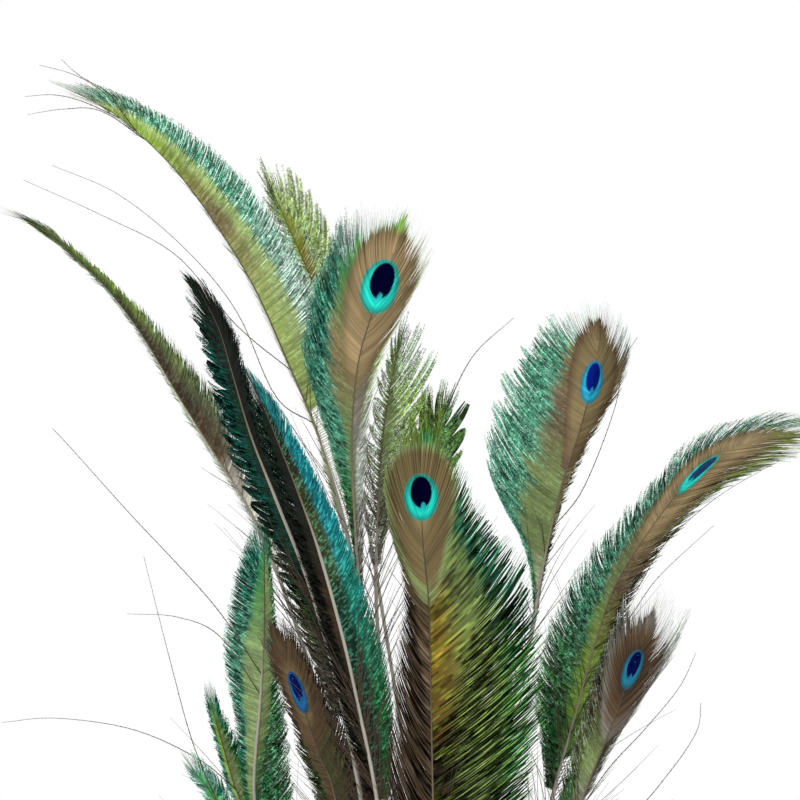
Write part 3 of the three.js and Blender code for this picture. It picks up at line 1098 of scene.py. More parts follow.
class Material:
    """A material with one Principled shader, and the one method that makes its other nodes."""

    def __init__(self, name: str, **constants: float) -> None:
        """Starts a material.

        Args:
            name: the material's name.
            constants: values that go straight on the shader's sockets.
        """
        self.data = bpy.data.materials.new(name)
        self.data.use_nodes = True
        self.nodes = self.data.node_tree.nodes
        self.links = self.data.node_tree.links
        self.shader = self.nodes["Principled BSDF"]
        for socket, value in constants.items():
            self.shader.inputs[socket.replace("_", " ")].default_value = value

    def node(self, kind: str, settings: dict[str, object], inputs: dict[object, object]) -> list[Socket]:
        """Makes a node.

        Args:
            kind: the node's type.
            settings: attributes of the node, set first; a ramp's "stops" are (place, colour) pairs.
            inputs: values or sockets, by input name or number.

        Returns:
            The node's outputs, wrapped.
        """
        node = self.nodes.new(kind)
        for name, value in settings.items():
            if name == "stops":
                for k, (at, colour) in enumerate(value):
                    stop = node.color_ramp.elements[k] if k < 2 else node.color_ramp.elements.new(at)
                    stop.position, stop.color = at, colour
            else:
                setattr(node, name, value)
        for key, value in inputs.items():
            if isinstance(value, Socket):
                self.links.new(value.link, node.inputs[key])
            else:
                node.inputs[key].default_value = value
        return [Socket(self, output) for output in node.outputs]

    def parts(self, vector: Socket) -> list[Socket]:
        """The three numbers of a vector."""
        return self.node("ShaderNodeSeparateXYZ", {}, {0: vector})

    def attribute(self, name: str) -> list[Socket]:
        """The three numbers of a vector attribute."""
        return self.parts(self.node("ShaderNodeAttribute", {"attribute_name": name}, {})[1])

    def place(self) -> list[Socket]:
        """The point's place in its object, in metres."""
        return self.parts(self.node("ShaderNodeTexCoord", {}, {})[3])

    def ramp(self, place: Socket, stops: list[tuple[float, Colour]]) -> Socket:
        """A colour between the stops at a place from 0 to 1."""
        return self.node("ShaderNodeValToRGB", {"stops": stops}, {0: place})[0]

    def tints(self, place: Socket, tints: Ramp) -> Socket:
        """A colour between tints at even steps of the place."""
        return self.ramp(place, [(i / max(1, len(tints) - 1), t.linear) for i, t in enumerate(tints)])

    def mix(self, share: object, first: object, second: object) -> Socket:
        """A colour between first and second."""
        settings = {"data_type": "RGBA", "blend_type": "MIX"}
        return self.node("ShaderNodeMix", settings, {0: share, 6: first, 7: second})[2]

    def scaled(self, colour: Socket, amount: object) -> Socket:
        """A colour times a number."""
        inputs = {0: colour, "Scale": amount}
        return self.node("ShaderNodeVectorMath", {"operation": "SCALE"}, inputs)[0]

    def noise(self, place: tuple[object, object, object], detail: float = 2.0) -> Socket:
        """Noise over three numbers.

        Args:
            place: the numbers; a grain is about 1 across.
            detail: the number of finer layers.

        Returns:
            A value from 0 to 1, mostly near the middle.
        """
        vector = self.node("ShaderNodeCombineXYZ", {}, dict(enumerate(place)))[0]
        inputs = {"Vector": vector, "Scale": 1.0, "Detail": detail, "Roughness": 0.6}
        return self.node("ShaderNodeTexNoise", {"noise_dimensions": "3D"}, inputs)[0]

    def bump(self, height: Socket, strength: float, distance: float) -> None:
        """Raises the shader's normal by a height."""
        inputs = {"Strength": strength, "Distance": distance, "Height": height}
        self.feed(Normal=self.node("ShaderNodeBump", {}, inputs)[0])

    def feed(self, **sockets: Socket) -> None:
        """Links values that change over the surface to the shader's sockets."""
        for name, socket in sockets.items():
            self.links.new(socket.link, self.shader.inputs[name.replace("_", " ")])


class BarbMaterial(Material):
    """The finish of a half vane: close web, loose herl with dark streaks of painted shade and glints of
    painted highlight, and the eyespot.

    It reads the barbs' attributes: "place" is the signed distance from the shaft, the height above the
    eye and the height up the vane; "strand" the share of the barb, its random number and how loose it
    is; "grain" the distance across the barbs, the distance along them, and the shade.
    """

    # Grains to the millimetre, across the barbs and along them.
    STREAK = (0.62, 0.2)
    FINE = (0.95, 0.34)
    CLOUD = (0.09, 0.07)
    INNER_CLOUD = 0.12  # how far the slow noise shifts the tints up and down the vane
    OUTER_CLOUD = 0.3
    OWN_STREAKS = (0.5, 0.35)  # how far apart two barbs' streaks lie, and what longer dashes add
    OWN_FINE = 1.8
    THROUGH = 3.2  # the middle tint's strength, over that of its place times what is left of it
    MIRROR = (0.12, 0.3)  # the metal of the web, and what loose herl adds
    # painted shade: the noise edges of the dark streaks between the barbs, and the share of the colour left
    # in them
    GAP_SHADE = (0.53, 0.43)
    GAP_SHADE_LIGHT = 0.1
    # painted highlights: the glints' noise edges, their lean to the spark tint, and how much they brighten
    GLINT = (0.5, 0.62)
    GLINT_TINT = 0.22
    GLINT_LIGHT = 1.9
    BARB_LIGHT = (0.78, 0.44)  # the darkest barb's light, and what its random number adds
    ROUGH = (0.5, 0.1, 0.3)  # in the web, what loose herl takes off, and the fine noise's part
    BUMP = (0.25, 0.0004)
    NARROWING = (0.6, 0.15)  # how much the disc narrows downward, and the least that is left
    SQUARENESS = 1.4
    DISC_EDGE = (1.12, 0.94)
    DISC_FRAY = (0.1, 0.16)
    RING_EDGE = (1.06, 0.96)
    RING_FRAY = 0.05
    RING_INNER = (0.0, 0.1, 0.3, 1)
    RING_STOPS = (0.0, 0.7, 0.93)
    RING_RIM_LIGHT = 0.45
    PUPIL = (0.23, 0.62, 0.67)  # its rise, half width and half height, as shares of the ring's
    PUPIL_EDGE = (1.06, 0.94)
    NOTCH = (0.12, 0.44, 0.16, 0.26)  # its shift, drop, half width and half height, likewise
    NOTCH_EDGE = (0.8, 1.1)

    def __init__(self, name: str, half: HalfVane, eye: Eyespot | None) -> None:
        """Builds the nodes.

        Args:
            name: the material's name.
            half: the half vane, for its tints and its gaps and glints.
            eye: the eyespot, if there is one.
        """
        super().__init__(name, IOR=1.5, Specular_IOR_Level=0.2)
        x, y, v = self.attribute("place")
        share, chance, loose = self.attribute("strand")
        over, along, shade = self.attribute("grain")
        own = self.OWN_STREAKS[0] + self.OWN_STREAKS[1] * (half.dash - 1)
        streak = self.grain(over, along, self.STREAK, half.dash, chance * own)
        fine = self.grain(over, along, self.FINE, half.dash, 7.0 + chance * self.OWN_FINE * own, 1.0)
        cloud = self.grain(over, along, self.CLOUD, 1.0, 4.0, 1.0)
        inner = self.tints((v + (cloud - 0.5) * self.INNER_CLOUD).most(0.0), half.inner)
        outer = self.tints((v + (cloud - 0.5) * self.OUTER_CLOUD).most(0.0), half.outer)
        turned = share.ease(*half.fade) if half.fade else loose
        base = self.mix(turned, inner, outer)
        if half.through:
            base = self.mix(self.THROUGH * turned * (1 - turned), base, half.through.linear)
        herl = half.web_shade_and_glints + (1 - half.web_shade_and_glints) * loose
        mirror = self.MIRROR[0] + self.MIRROR[1] * herl
        if eye:
            base, disc, pupil = self.eyespot(eye, x, y, chance, cloud, base)
            herl = herl * (1 - disc)
            mirror = mirror.most(pupil)
        # painted shade: dark streaks stand for the shade between the barbs and darken the colour itself
        painted_gap_shade = streak.ease(*self.GAP_SHADE) * half.gap_shade * herl
        base = self.mix(painted_gap_shade, base, self.scaled(base, self.GAP_SHADE_LIGHT))
        # painted highlights: bright glints lighten the colour itself
        glint = fine.ease(*self.GLINT) * half.glints * herl
        spark = self.mix(self.GLINT_TINT, base, half.spark.linear)
        base = self.mix(glint, base, self.scaled(spark, self.GLINT_LIGHT))
        base = self.scaled(base, (self.BARB_LIGHT[0] + self.BARB_LIGHT[1] * chance) * shade)
        web_rough, smoother, mottled = self.ROUGH
        roughness = web_rough - smoother * loose + (fine - 0.5) * mottled
        self.feed(Base_Color=base, Roughness=roughness, Metallic=mirror.most(painted_gap_shade))
        self.bump(fine, *self.BUMP)

    def grain(
        self,
        over: Socket,
        along: Socket,
        size: tuple[float, float],
        dash: float,
        layer: object,
        detail: float = 2.0,
    ) -> Socket:
        """Noise that follows the barbs, with `size` grains to the millimetre, `dash` times longer."""
        return self.noise((over * size[0], along * (size[1] / dash), layer), detail)

    def eyespot(
        self, eye: Eyespot, x: Socket, y: Socket, chance: Socket, cloud: Socket, base: Socket
    ) -> tuple[Socket, Socket, Socket]:
        """Lays the bronze disc, the blue-green ring and the dark pupil over the base colour.

        Each is an oval, the distance from whose centre is 1 on its edge; the disc's is squarer, being
        the 2.8th root of the 2.8th powers' sum. The disc narrows downward to the shaft, and the
        pupil's lower edge is notched by a small oval of the ring.

        Args:
            eye: the sizes and colours.
            x: distance from the shaft.
            y: height above the eye.
            chance: the barb's random number.
            cloud: slow noise.
            base: the colour below.

        Returns:
            The colour, and the shares of the disc and of the pupil in it.
        """
        wide, above, below = eye.disc
        narrowing, least = self.NARROWING
        narrowed = x / (1 + (y / below * narrowing).least(0.0)).most(least)
        height = y.most(0.0) / above + y.least(0.0) / below
        by_barb, by_cloud = self.DISC_FRAY
        disc = self.oval(narrowed, height, wide, 1.0, self.SQUARENESS)
        disc = disc + (chance - 0.5) * by_barb + (cloud - 0.5) * by_cloud
        inside = disc.ease(*self.DISC_EDGE)
        result = self.mix(inside, base, self.tints(disc, eye.rim))
        ring_wide, ring_tall = eye.ring
        ring = self.oval(x, y, ring_wide, ring_tall) + (chance - 0.5) * self.RING_FRAY
        rim = (eye.glow[0], *(self.RING_RIM_LIGHT * c for c in eye.glow[1:]), 1)
        stops = list(zip(self.RING_STOPS, (self.RING_INNER, (*eye.glow, 1), rim)))
        result = self.mix(ring.ease(*self.RING_EDGE), result, self.ramp(ring, stops))
        rise, pupil_wide, pupil_tall = self.PUPIL
        pupil = self.oval(x, y - ring_tall * rise, ring_wide * pupil_wide, ring_tall * pupil_tall)
        shift, drop, notch_wide, notch_tall = self.NOTCH
        notch_x, notch_y = x - ring_wide * shift, y + ring_tall * drop
        notch = self.oval(notch_x, notch_y, ring_wide * notch_wide, ring_tall * notch_tall)
        dark = pupil.ease(*self.PUPIL_EDGE) * notch.ease(*self.NOTCH_EDGE)
        return self.mix(dark, result, (*eye.pupil, 1)), inside, dark

    def oval(self, x: Socket, y: Socket, wide: float, tall: float, square: float = 1.0) -> Socket:
        """The root of (x / wide) squared plus (y / tall) squared, each to the power `square`."""
        across, up = x / wide, y / tall
        return ((across * across) ** square + (up * up) ** square) ** (0.5 / square)


class QuillMaterial(Material):
    """Pale horn at the quill's foot, tan and brown towards the crown, with fine lengthwise streaks."""

    STOPS = [
        (0.0, (0.46, 0.43, 0.37, 1)),
        (0.15, (0.34, 0.29, 0.21, 1)),
        (0.35, (0.16, 0.12, 0.065, 1)),
        (0.7, (0.05, 0.034, 0.02, 1)),
    ]
    STREAKS = (2.2, 0.05)  # grains to the radian round the quill, and to the millimetre along it
    MOTTLES = (0.7, 0.3)
    SHIFT = 0.12  # how far the mottles shift the tones
    LIGHT = (0.72, 0.5)  # the darkest streak's light, and what the noise adds to it
    ROUGH = (0.3, 0.25)
    BUMP = (0.3, 0.0003)

    def __init__(self) -> None:
        """Builds the nodes: streaks run along the quill, and mottles shift its tones up and down."""
        super().__init__("quill_horn", IOR=1.5, Subsurface_Weight=0.0)
        v, s, angle = self.attribute("shaft")
        streak = self.noise((angle * self.STREAKS[0], s * self.STREAKS[1], 0.0), 3.0)
        mottle = self.noise((angle * self.MOTTLES[0], s * self.MOTTLES[1], 5.0), 2.0)
        base = self.ramp(v.most(0.0) + (mottle - 0.5) * self.SHIFT, self.STOPS)
        base = self.scaled(base, self.LIGHT[0] + self.LIGHT[1] * streak)
        self.feed(Base_Color=base, Roughness=self.ROUGH[0] + self.ROUGH[1] * mottle)
        self.bump(streak, *self.BUMP)


class HerlMaterial(Material):
    """The long barbs' dark brown, paler and darker in turns along them, with a green cast."""

    TINTS = (Tint.SOOT, Tint.UMBER, Tint.UMBER, Tint.COCOA, Tint.OLIVE, Tint.SILVER)
    SLOW = 0.12  # grains to the millimetre along the barb
    FINE = 0.9
    LIGHT = (0.6, 0.6)
    ROUGH = (0.35, 0.3)
    BUMP = (0.2, 0.0003)

    def __init__(self) -> None:
        """Builds the nodes: slow noise along a barb picks its tint, and fine noise its tone."""
        super().__init__("long_herl", IOR=1.5)
        over, along, _ = self.attribute("grain")
        turns = self.noise((over, along * self.SLOW, 0.0), 2.0)
        fine = self.noise((over, along * self.FINE, 3.0), 2.0)
        base = self.scaled(self.tints(turns, self.TINTS), self.LIGHT[0] + self.LIGHT[1] * fine)
        self.feed(Base_Color=base, Roughness=self.ROUGH[0] + self.ROUGH[1] * fine)
        self.bump(fine, *self.BUMP)


@dataclass(frozen=True)
class Glaze:
    """The vase's finish: a warm white glaze over pale clay, bare where it stands.

    The colours are linear, `bare_below` is a height in metres, and the scales are grains to the metre.
    `pools` and `specks` are where their noise starts and ends to show them. `rough` is the glaze's
    roughness, what slow noise adds and what bare clay adds, and `relief` the heights of the throwing's
    rings and of the grain.
    """

    body: Colour = (0.72, 0.69, 0.62, 1)
    pooled: Colour = (0.60, 0.60, 0.56, 1)
    iron: Colour = (0.2, 0.14, 0.09, 1)
    clay: Point = (0.52, 0.42, 0.31)
    clay_tones: tuple[float, float] = (0.8, 1.2)
    bare_below: float = 0.0022
    wave_scale: tuple[float, float] = (22, 9)
    fine_scale: float = 420
    speck_scale: float = 620
    throwing_scale: float = 260
    pools: tuple[float, float] = (0.42, 0.62)
    specks: tuple[float, float] = (0.76, 0.8)
    speck_strength: float = 0.6
    rough: Point = (0.16, 0.12, 0.6)
    coat: float = 0.8
    relief: tuple[float, float] = (0.5, 0.12)
    bump: tuple[float, float] = (0.25, 0.0008)

    def material(self) -> bpy.types.Material:
        """Slow waves of tone, fine iron specks, rings left by throwing, and an unglazed foot.

        Returns:
            The material.
        """
        glaze = Material("vase_glaze", IOR=1.5, Coat_IOR=1.5, Coat_Roughness=0.06)
        x, y, z = glaze.place()
        across, up = self.wave_scale
        slow = glaze.noise((x * across, y * across, z * up), 3.0)
        fine = glaze.noise(tuple(part * self.fine_scale for part in (x, y, z)), 2.0)
        specks = glaze.noise(tuple(part * self.speck_scale for part in (x, y, z)), 0.0)
        throwing = glaze.noise((0.0, 0.0, z * self.throwing_scale + slow * 2), 1.0)
        base = glaze.mix(slow.ease(*self.pools), self.body, self.pooled)
        base = glaze.mix(specks.ease(*self.specks) * self.speck_strength, base, self.iron)
        bare = z.ease(self.bare_below * 1.6, self.bare_below)
        dark, light = ((*(tone * c for c in self.clay), 1) for tone in self.clay_tones)
        base = glaze.mix(bare, base, glaze.mix(fine, dark, light))
        smooth, uneven, raw = self.rough
        roughness = smooth + uneven * slow + raw * bare
        glaze.feed(Base_Color=base, Roughness=roughness, Coat_Weight=self.coat - self.coat * bare)
        rings, grain = self.relief
        glaze.bump(throwing * rings + fine * grain, *self.bump)
        return glaze.data


@dataclass(frozen=True)
class Vase:
    """The vase, turned about the upright axis: radii and heights in millimetres, as in the model.

    `rise` lies between the foot and the belly, and `shoulder` between the belly and the neck.
    `foot_line` goes from the hollow under the foot to its edge: steps out from the edge, and heights.
    """

    height: float = 200.0
    foot: float = 44.0
    rise: float = 53.0
    rise_height: float = 34.0
    belly: float = 58.0
    belly_height: float = 84.0
    shoulder: float = 49.0
    shoulder_height: float = 132.0
    neck: float = 36.5
    neck_height: float = 178.0
    lip: float = 43.0
    wall: float = 4.5
    floor: float = 9.0
    sides: int = 144
    samples: int = 60
    lip_samples: int = 9
    foot_line: tuple[tuple[float, float], ...] = (
        (-9, 1.2), (-8, 0.4), (-7, 0.0), (-2.5, 0.0), (-1.2, 0.5), (-0.5, 1.6)
    )
    axis: float = 0.001  # the radius of the small rings that close both ends

    def outside(self) -> Array:
        """The outer line: a smooth line through the widths at six heights.

        Returns:
            The line's points (radius, height).
        """
        radii = (self.foot, self.rise, self.belly, self.shoulder, self.neck, self.lip)
        below = (3.0, self.rise_height, self.belly_height)
        heights = (*below, self.shoulder_height, self.neck_height, self.height - 2)
        v = np.linspace(0, 1, self.samples)
        return np.stack([profile(radii, v), profile(heights, v)], 1)

    def profile(self) -> Array:
        """The whole closed line: foot with its shallow hollow, outside, rounded lip, inside, floor.

        Returns:
            The line's points (radius, height), from the middle of the foot to that of the floor.
        """
        outside = self.outside()
        inside = outside[outside[:, 1] > self.floor + 1][::-1] - (self.wall, 0)
        turn = np.linspace(0.25, math.pi - 0.25, self.lip_samples)
        arc = np.stack([self.wall / 2 * np.cos(turn), 2 * np.sin(turn)], 1)
        lip = arc + (self.lip - self.wall / 2, self.height - 2)
        foot = [(self.axis, self.foot_line[0][1]), *((self.foot + x, z) for x, z in self.foot_line)]
        corner = self.foot - self.wall
        bottom = [(corner - 1, self.floor + 0.4), (corner - 4, self.floor), (self.axis, self.floor)]
        return np.vstack([foot, outside, lip, inside, bottom])

    def build(self) -> int:
        """Turns the profile about the upright axis and dresses the vase.

        Returns:
            The number of faces.
        """
        line = self.profile()
        angle = full_turn(self.sides)
        radius, height = line[:, :1], np.broadcast_to(line[:, 1:], (len(line), self.sides))
        points = np.stack([radius * np.cos(angle), radius * np.sin(angle), height], -1)
        quads = tube_quads(len(line), self.sides)
        piece = make_object("vase_body", points.reshape(-1, 3), [quads], [Glaze().material()])
        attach(piece, BODY)
        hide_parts("vase")
        return len(quads)


@dataclass(frozen=True)
class Lamp:
    """A square soft light that faces the bunch's middle. Lengths are in metres, the power in watts."""

    name: str
    place: Point
    size: float
    power: float
    aim: Point = (0, 0, 0.45)

    def build(self) -> None:
        """Puts the lamp in the scene, turned to its aim."""
        lamp = bpy.data.lights.new(self.name, "AREA")
        lamp.size, lamp.energy = self.size, self.power
        piece = bpy.data.objects.new(self.name, lamp)
        away = np.array(self.place) - np.array(self.aim)
        flat = math.hypot(away[0], away[1])
        piece.location = self.place
        piece.rotation_euler = (math.atan2(flat, away[2]), 0, math.atan2(away[0], -away[1]))
        bpy.context.scene.collection.objects.link(piece)


@dataclass(frozen=True)
class Studio:
    """The floor, the lights and the camera. Lengths are in metres."""

    eye: Point = (-0.015, -1.7, 0.55)
    lens: float = 153.0
    floor_radius: float = 2.4
    floor_sides: int = 96
    floor_tones: tuple[Colour, Colour] = ((0.78, 0.78, 0.77, 1), (0.84, 0.84, 0.83, 1))
    white: float = 1.0
    surround: float = 0.6
    lamps: tuple[Lamp, ...] = (
        Lamp("key", (-1.5, -1.9, 2.2), 1.6, 45.0),
        Lamp("fill", (2.0, -1.5, 1.2), 1.8, 14.0),
    )

    def build(self) -> None:
        """Lays the floor and sets up a white surround, the lamps and the camera."""
        scene = bpy.context.scene
        scene.view_settings.view_transform = "Standard"
        self.floor()
        scene.world = self.world()
        for lamp in self.lamps:
            lamp.build()
        camera = bpy.data.objects.new("camera", bpy.data.cameras.new("camera"))
        camera.data.lens = self.lens
        camera.data.sensor_width = 36.0
        camera.data.clip_start = 0.01
        camera.location = self.eye
        camera.rotation_euler = (math.pi / 2, 0, 0)
        scene.collection.objects.link(camera)
        scene.camera = camera

    def world(self) -> bpy.types.World:
        """A surround that is white to look at and dimmer as a light.

        Returns:
            The world.
        """
        world = bpy.data.worlds.new("surround")
        world.use_nodes = True
        nodes, links = world.node_tree.nodes, world.node_tree.links
        background = nodes["Background"]
        background.inputs[0].default_value = (1, 1, 1, 1)
        level = nodes.new("ShaderNodeMapRange")
        level.inputs["To Min"].default_value = self.surround
        level.inputs["To Max"].default_value = self.white
        links.new(nodes.new("ShaderNodeLightPath").outputs["Is Camera Ray"], level.inputs["Value"])
        links.new(level.outputs[0], background.inputs[1])
        return world

    def floor(self) -> None:
        """Lays a pale round floor at height 0."""
        angle = full_turn(self.floor_sides)
        rim = np.stack([np.cos(angle), np.sin(angle), 0 * angle], 1) * self.floor_radius / MM
        paint = Material("floor_paint", Roughness=0.9)
        x, y, _ = paint.place()
        paint.feed(Base_Color=paint.mix(paint.noise((x * 2, y * 2, 0.0), 3.0), *self.floor_tones))
        make_object("floor", rim, [np.arange(self.floor_sides)[None, :]], [paint.data])


# The plans of the sixteen feathers. T keeps their lines short.
T = Tint
SPARSE_WEB = (0.05, 0.05, 0.1, 0.15, 0.2, 0.2)

ARCHING_LEFT = FeatherPlan(
    name="feather_arching_left", slot="feather_teal", stem=4, quill=2.0, vane=290,
    spine=((-14, 30, 270), (-23, 31, 348), (-33, 31, 428), (-42, 30, 482), (-56, 30, 530), (-72, 29, 569),
           (-89, 27, 607), (-109, 26, 640), (-133, 24, 671), (-163, 20, 697), (-198, 15, 713)),
    turn=(0, -4, -12),
    left=HalfVane(
        widths=(2, 9, 14, 15, 10, 2), fold=82, web=(0.6, 0.7, 0.7, 0.7, 0.7, 0.6), ragged=0.03,
        fringe=0.3, clump=0.05, gap_shade=0.3, glints=0.2,
        inner=(T.PALE, T.CHARTREUSE, T.CHARTREUSE, T.LEAF, T.LEAF, T.OLIVE),
        outer=(T.SILVER, T.PALE, T.CHARTREUSE, T.LEAF, T.OLIVE, T.OLIVE),
    ),
    right=HalfVane(
        widths=(4, 26, 28, 26, 15, 2), fold=4, web=(0.1, 0.4, 0.45, 0.45, 0.4, 0.3), pitch=(0.7, 0.7),
        inner=(T.PALE, T.CHARTREUSE, T.CHARTREUSE, T.BRONZE, T.LEAF, T.OLIVE), lean=(70, 66), fringe=1.0,
        outer=(T.SILVER, T.MINT, T.MINT, T.SEA, T.SEA, T.OLIVE), gap_shade=0.6, ragged=0.05, glints=1.0,
        spark=T.WHITE, fade=(0.15, 0.55), through=T.CHARTREUSE, clump=0.1, comb=0.26,
    ),
    herls=(
        (0.2, ((-78, 20, 552), (-97, 14, 594), (-122, 10, 625), (-156, 8, 653), (-190, 8, 668))),
        (0.3, ((-98, 24, 588), (-128, 20, 623), (-165, 17, 643), (-205, 15, 661))),
        (0.76, ((-160, 20, 703), (-177, 18, 714), (-186, 16, 722))),
        (0.8, ((-163, 19, 704), (-179, 17, 714), (-197, 15, 719))),
        (0.84, ((-176, 17, 701), (-190, 16, 704), (-204, 14, 703))),
        (0.78, ((-166, 19, 696), (-184, 17, 697), (-203, 15, 694))),
    ),
)

TUFT_BACK = FeatherPlan(
    name="feather_tuft_back", slot="feather_olive", stem=3, quill=1.7, vane=150,
    spine=((-2, 42, 270), (-10, 48, 350), (-24, 55, 440), (-38, 62, 520), (-50, 67, 580), (-65, 71, 622),
           (-90, 76, 677)),
    turn=(0, 5, 10),
    left=HalfVane(
        widths=(2, 4, 6, 6, 6, 2), fold=20, web=SPARSE_WEB, pitch=(0.9, 0.9), fringe=1.8, ragged=0.25,
        inner=(T.OLIVE, T.LEAF, T.LEAF), outer=(T.OLIVE, T.CHARTREUSE, T.SAGE), clump=0.6, backed=False,
        thinning=0.1,
    ),
    right=HalfVane(
        widths=(2, 8, 13, 18, 17, 9), fold=5, web=SPARSE_WEB, pitch=(0.8, 0.8), fringe=1.8, ragged=0.25,
        inner=(T.OLIVE, T.GOLD, T.LEAF), outer=(T.OLIVE, T.LEAF, T.CHARTREUSE), clump=0.6, backed=False,
        thinning=0.1,
    ),
)

EYED_UPPER = FeatherPlan(
    name="feather_eyed_upper", slot="feather_teal", stem=13, quill=2.0, vane=200,
    spine=((0, -22, 270), (-27, -17, 350), (-32, -12, 420), (-37, -6, 480), (-39, -2, 530), (-36, 1, 568),
           (-29, 3, 593), (-20, 5, 620), (-9, 6, 651)),
    turn=(0, 2, 4),
    left=HalfVane(
        widths=(1, 4, 14, 30, 31, 30), fold=8, web=(0.05, 0.08, 0.15, 0.35, 0.62, 0.75),
        inner=(T.GREY, T.OLIVE, T.OLIVE, T.BRONZE, T.GREEN, T.LEAF), pitch=(0.9, 0.8, 0.6),
        outer=(T.OLIVE, T.GREEN, T.SEA, T.TEAL, T.TEAL, T.WHITE), ragged=0.08, lean=(58, 42), fringe=1.1,
    ),
    right=HalfVane(
        widths=(2, 6, 9, 13, 19, 21), fold=26, web=(0.1, 0.2, 0.3, 0.6, 0.8, 0.8), fringe=0.3,
        inner=(T.GREY, T.OLIVE, T.GREY, T.BRONZE, T.CHARTREUSE, T.LEAF), pitch=(0.9, 0.8, 0.6), clump=0.05,
        outer=(T.GREY, T.SILVER, T.SILVER, T.CHARTREUSE, T.PALE, T.WHITE), gap_shade=0.4, lean=(40, 24),
    ),
    eye=Eyespot(0.765, (10, 14), (17.5, 29, 52), rim=(T.BRONZE, T.BRONZE, T.TAN, T.TAN, T.BRONZE)),
)

SPARSE_BACK = FeatherPlan(
    name="feather_sparse_back", slot="feather_green", stem=1, quill=1.7, vane=130,
    spine=((10, 18, 270), (-17, 20, 347), (-23, 20, 398), (-27, 20, 449), (-26, 21, 499), (-23, 21, 536),
           (-19, 22, 561), (-11, 22, 595)),
    turn=(0, 0, 0),
    left=HalfVane(
        widths=(3, 7, 9, 8, 6, 4), fold=5, web=SPARSE_WEB, pitch=(1.1, 1.1), fringe=1.4, ragged=0.15,
        inner=(T.GREY, T.OLIVE, T.OLIVE), outer=(T.GREY, T.OLIVE, T.LEAF, T.OLIVE), clump=0.7, lock=9,
        gap_shade=0.5, backed=False, thinning=0.1,
    ),
    right=HalfVane(
        widths=(2, 7, 14, 19, 19, 12), fold=5, web=SPARSE_WEB, pitch=(0.9, 0.9), fringe=1.3, ragged=0.12,
        lean=(36, 26),
        inner=(T.GREY, T.OLIVE, T.OLIVE), outer=(T.GREY, T.OLIVE, T.LEAF, T.GREEN), clump=0.45, lock=9,
        gap_shade=0.8, backed=False, thinning=0.1,
    ),
)

EYED_FRONT = FeatherPlan(
    name="feather_eyed_front", slot="feather_green", stem=12, quill=2.1, vane=285,
    spine=((3, -38, 270), (1, -49, 356), (0, -56, 405), (-1, -63, 450), (-4, -69, 482), (-5, -74, 510),
           (-5, -80, 544)),
    turn=(4, 2, 0), wisps=150,
    left=HalfVane(
        widths=(12, 24, 25, 22, 17, 12, 18, 16), fold=12, web=(0.05, 0.05, 0.05, 0.1, 0.97, 0.92),
        inner=(T.UMBER, T.UMBER, T.UMBER, T.COCOA, T.BRONZE, T.LEAF), fringe=0.15, web_shade_and_glints=0.7,
        outer=(T.SOOT, T.UMBER, T.COCOA, T.UMBER, T.BRONZE, T.LEAF), pitch=(0.8, 0.8, 0.6), ragged=0.04,
        glints=0.7, gap_shade=1.0, dash=7.0, spark=T.GREY, lean=(5, 42),
    ),
    right=HalfVane(
        widths=(8, 36, 48, 54, 57, 50, 25, 16), fold=6, web=(0.03, 0.03, 0.03, 0.03, 0.6, 0.85), web_shade_and_glints=0.7,
        inner=(T.UMBER, T.UMBER, T.UMBER, T.GOLD, T.BRONZE, T.LEAF), clump=0.1, ragged=0.05, breadth=0.27,
        outer=(T.MOSS, T.EMERALD, T.GREEN, T.EMERALD, T.TEAL, T.GREEN), lean=(66, 40), gap_shade=1.0,
        pitch=(1.9, 1.9, 1.8, 1.2, 0.6), fringe=0.34, fade=(0.05, 0.75), through=T.OLIVE, glints=1.0,
        dash=4.0, sag=0.48, spark=T.LEAF,
    ),
    eye=Eyespot(
        0.855, (8.3, 11.5), (18, 26, 50),
        rim=(T.BRONZE, T.TAN, T.BRONZE, T.BRONZE, T.BRONZE, T.BRONZE, T.SAGE),
    ),
)

EYED_RIGHT = FeatherPlan(
    name="feather_eyed_right", slot="feather_teal", stem=0, quill=2.0, vane=165,
    spine=((26, 10, 270), (34, 14, 348), (42, 17, 398), (51, 19, 430), (57, 20, 464), (66, 22, 504),
           (76, 25, 534), (83, 27, 560), (86, 28, 580), (87, 29, 604)),
    turn=(-8, -10, -12),
    left=HalfVane(
        widths=(1, 13, 40, 45, 37, 22), fold=6, web=(0.3, 0.5, 0.42, 0.38, 0.45, 0.6), ragged=0.1,
        inner=(T.PALE, T.OLIVE, T.OLIVE, T.COCOA, T.BRONZE, T.GREEN), pitch=(1.0, 0.75, 0.6), lock=3.5,
        outer=(T.GREEN, T.SEA, T.SEA, T.SEA, T.SEA, T.MINT), lean=(52, 62), clump=0.4, gap_shade=0.7,
    ),
    right=HalfVane(
        widths=(1, 3, 5, 10, 19, 18), fold=40, web=(0.1, 0.3, 0.4, 0.6, 0.85, 0.65), fringe=0.3, ragged=0.02,
        inner=(T.SILVER, T.OLIVE, T.BRONZE, T.BRONZE, T.BRONZE, T.GREEN), pitch=(1.0, 0.8, 0.65),
        outer=(T.GREY, T.GREY, T.BRONZE, T.BRONZE, T.GREY, T.MINT), clump=0.05,
    ),
    eye=Eyespot(0.725, (5.9, 11.3), (13, 33, 46), pupil=(0.002, 0.01, 0.16), glow=(0.01, 0.4, 0.6),
                rim=(T.BRONZE, T.BRONZE, T.BRONZE, T.COCOA)),
    herls=((0.25, ((78, 26, 505), (94, 30, 545), (99, 32, 570), (106, 33, 582))),),
)

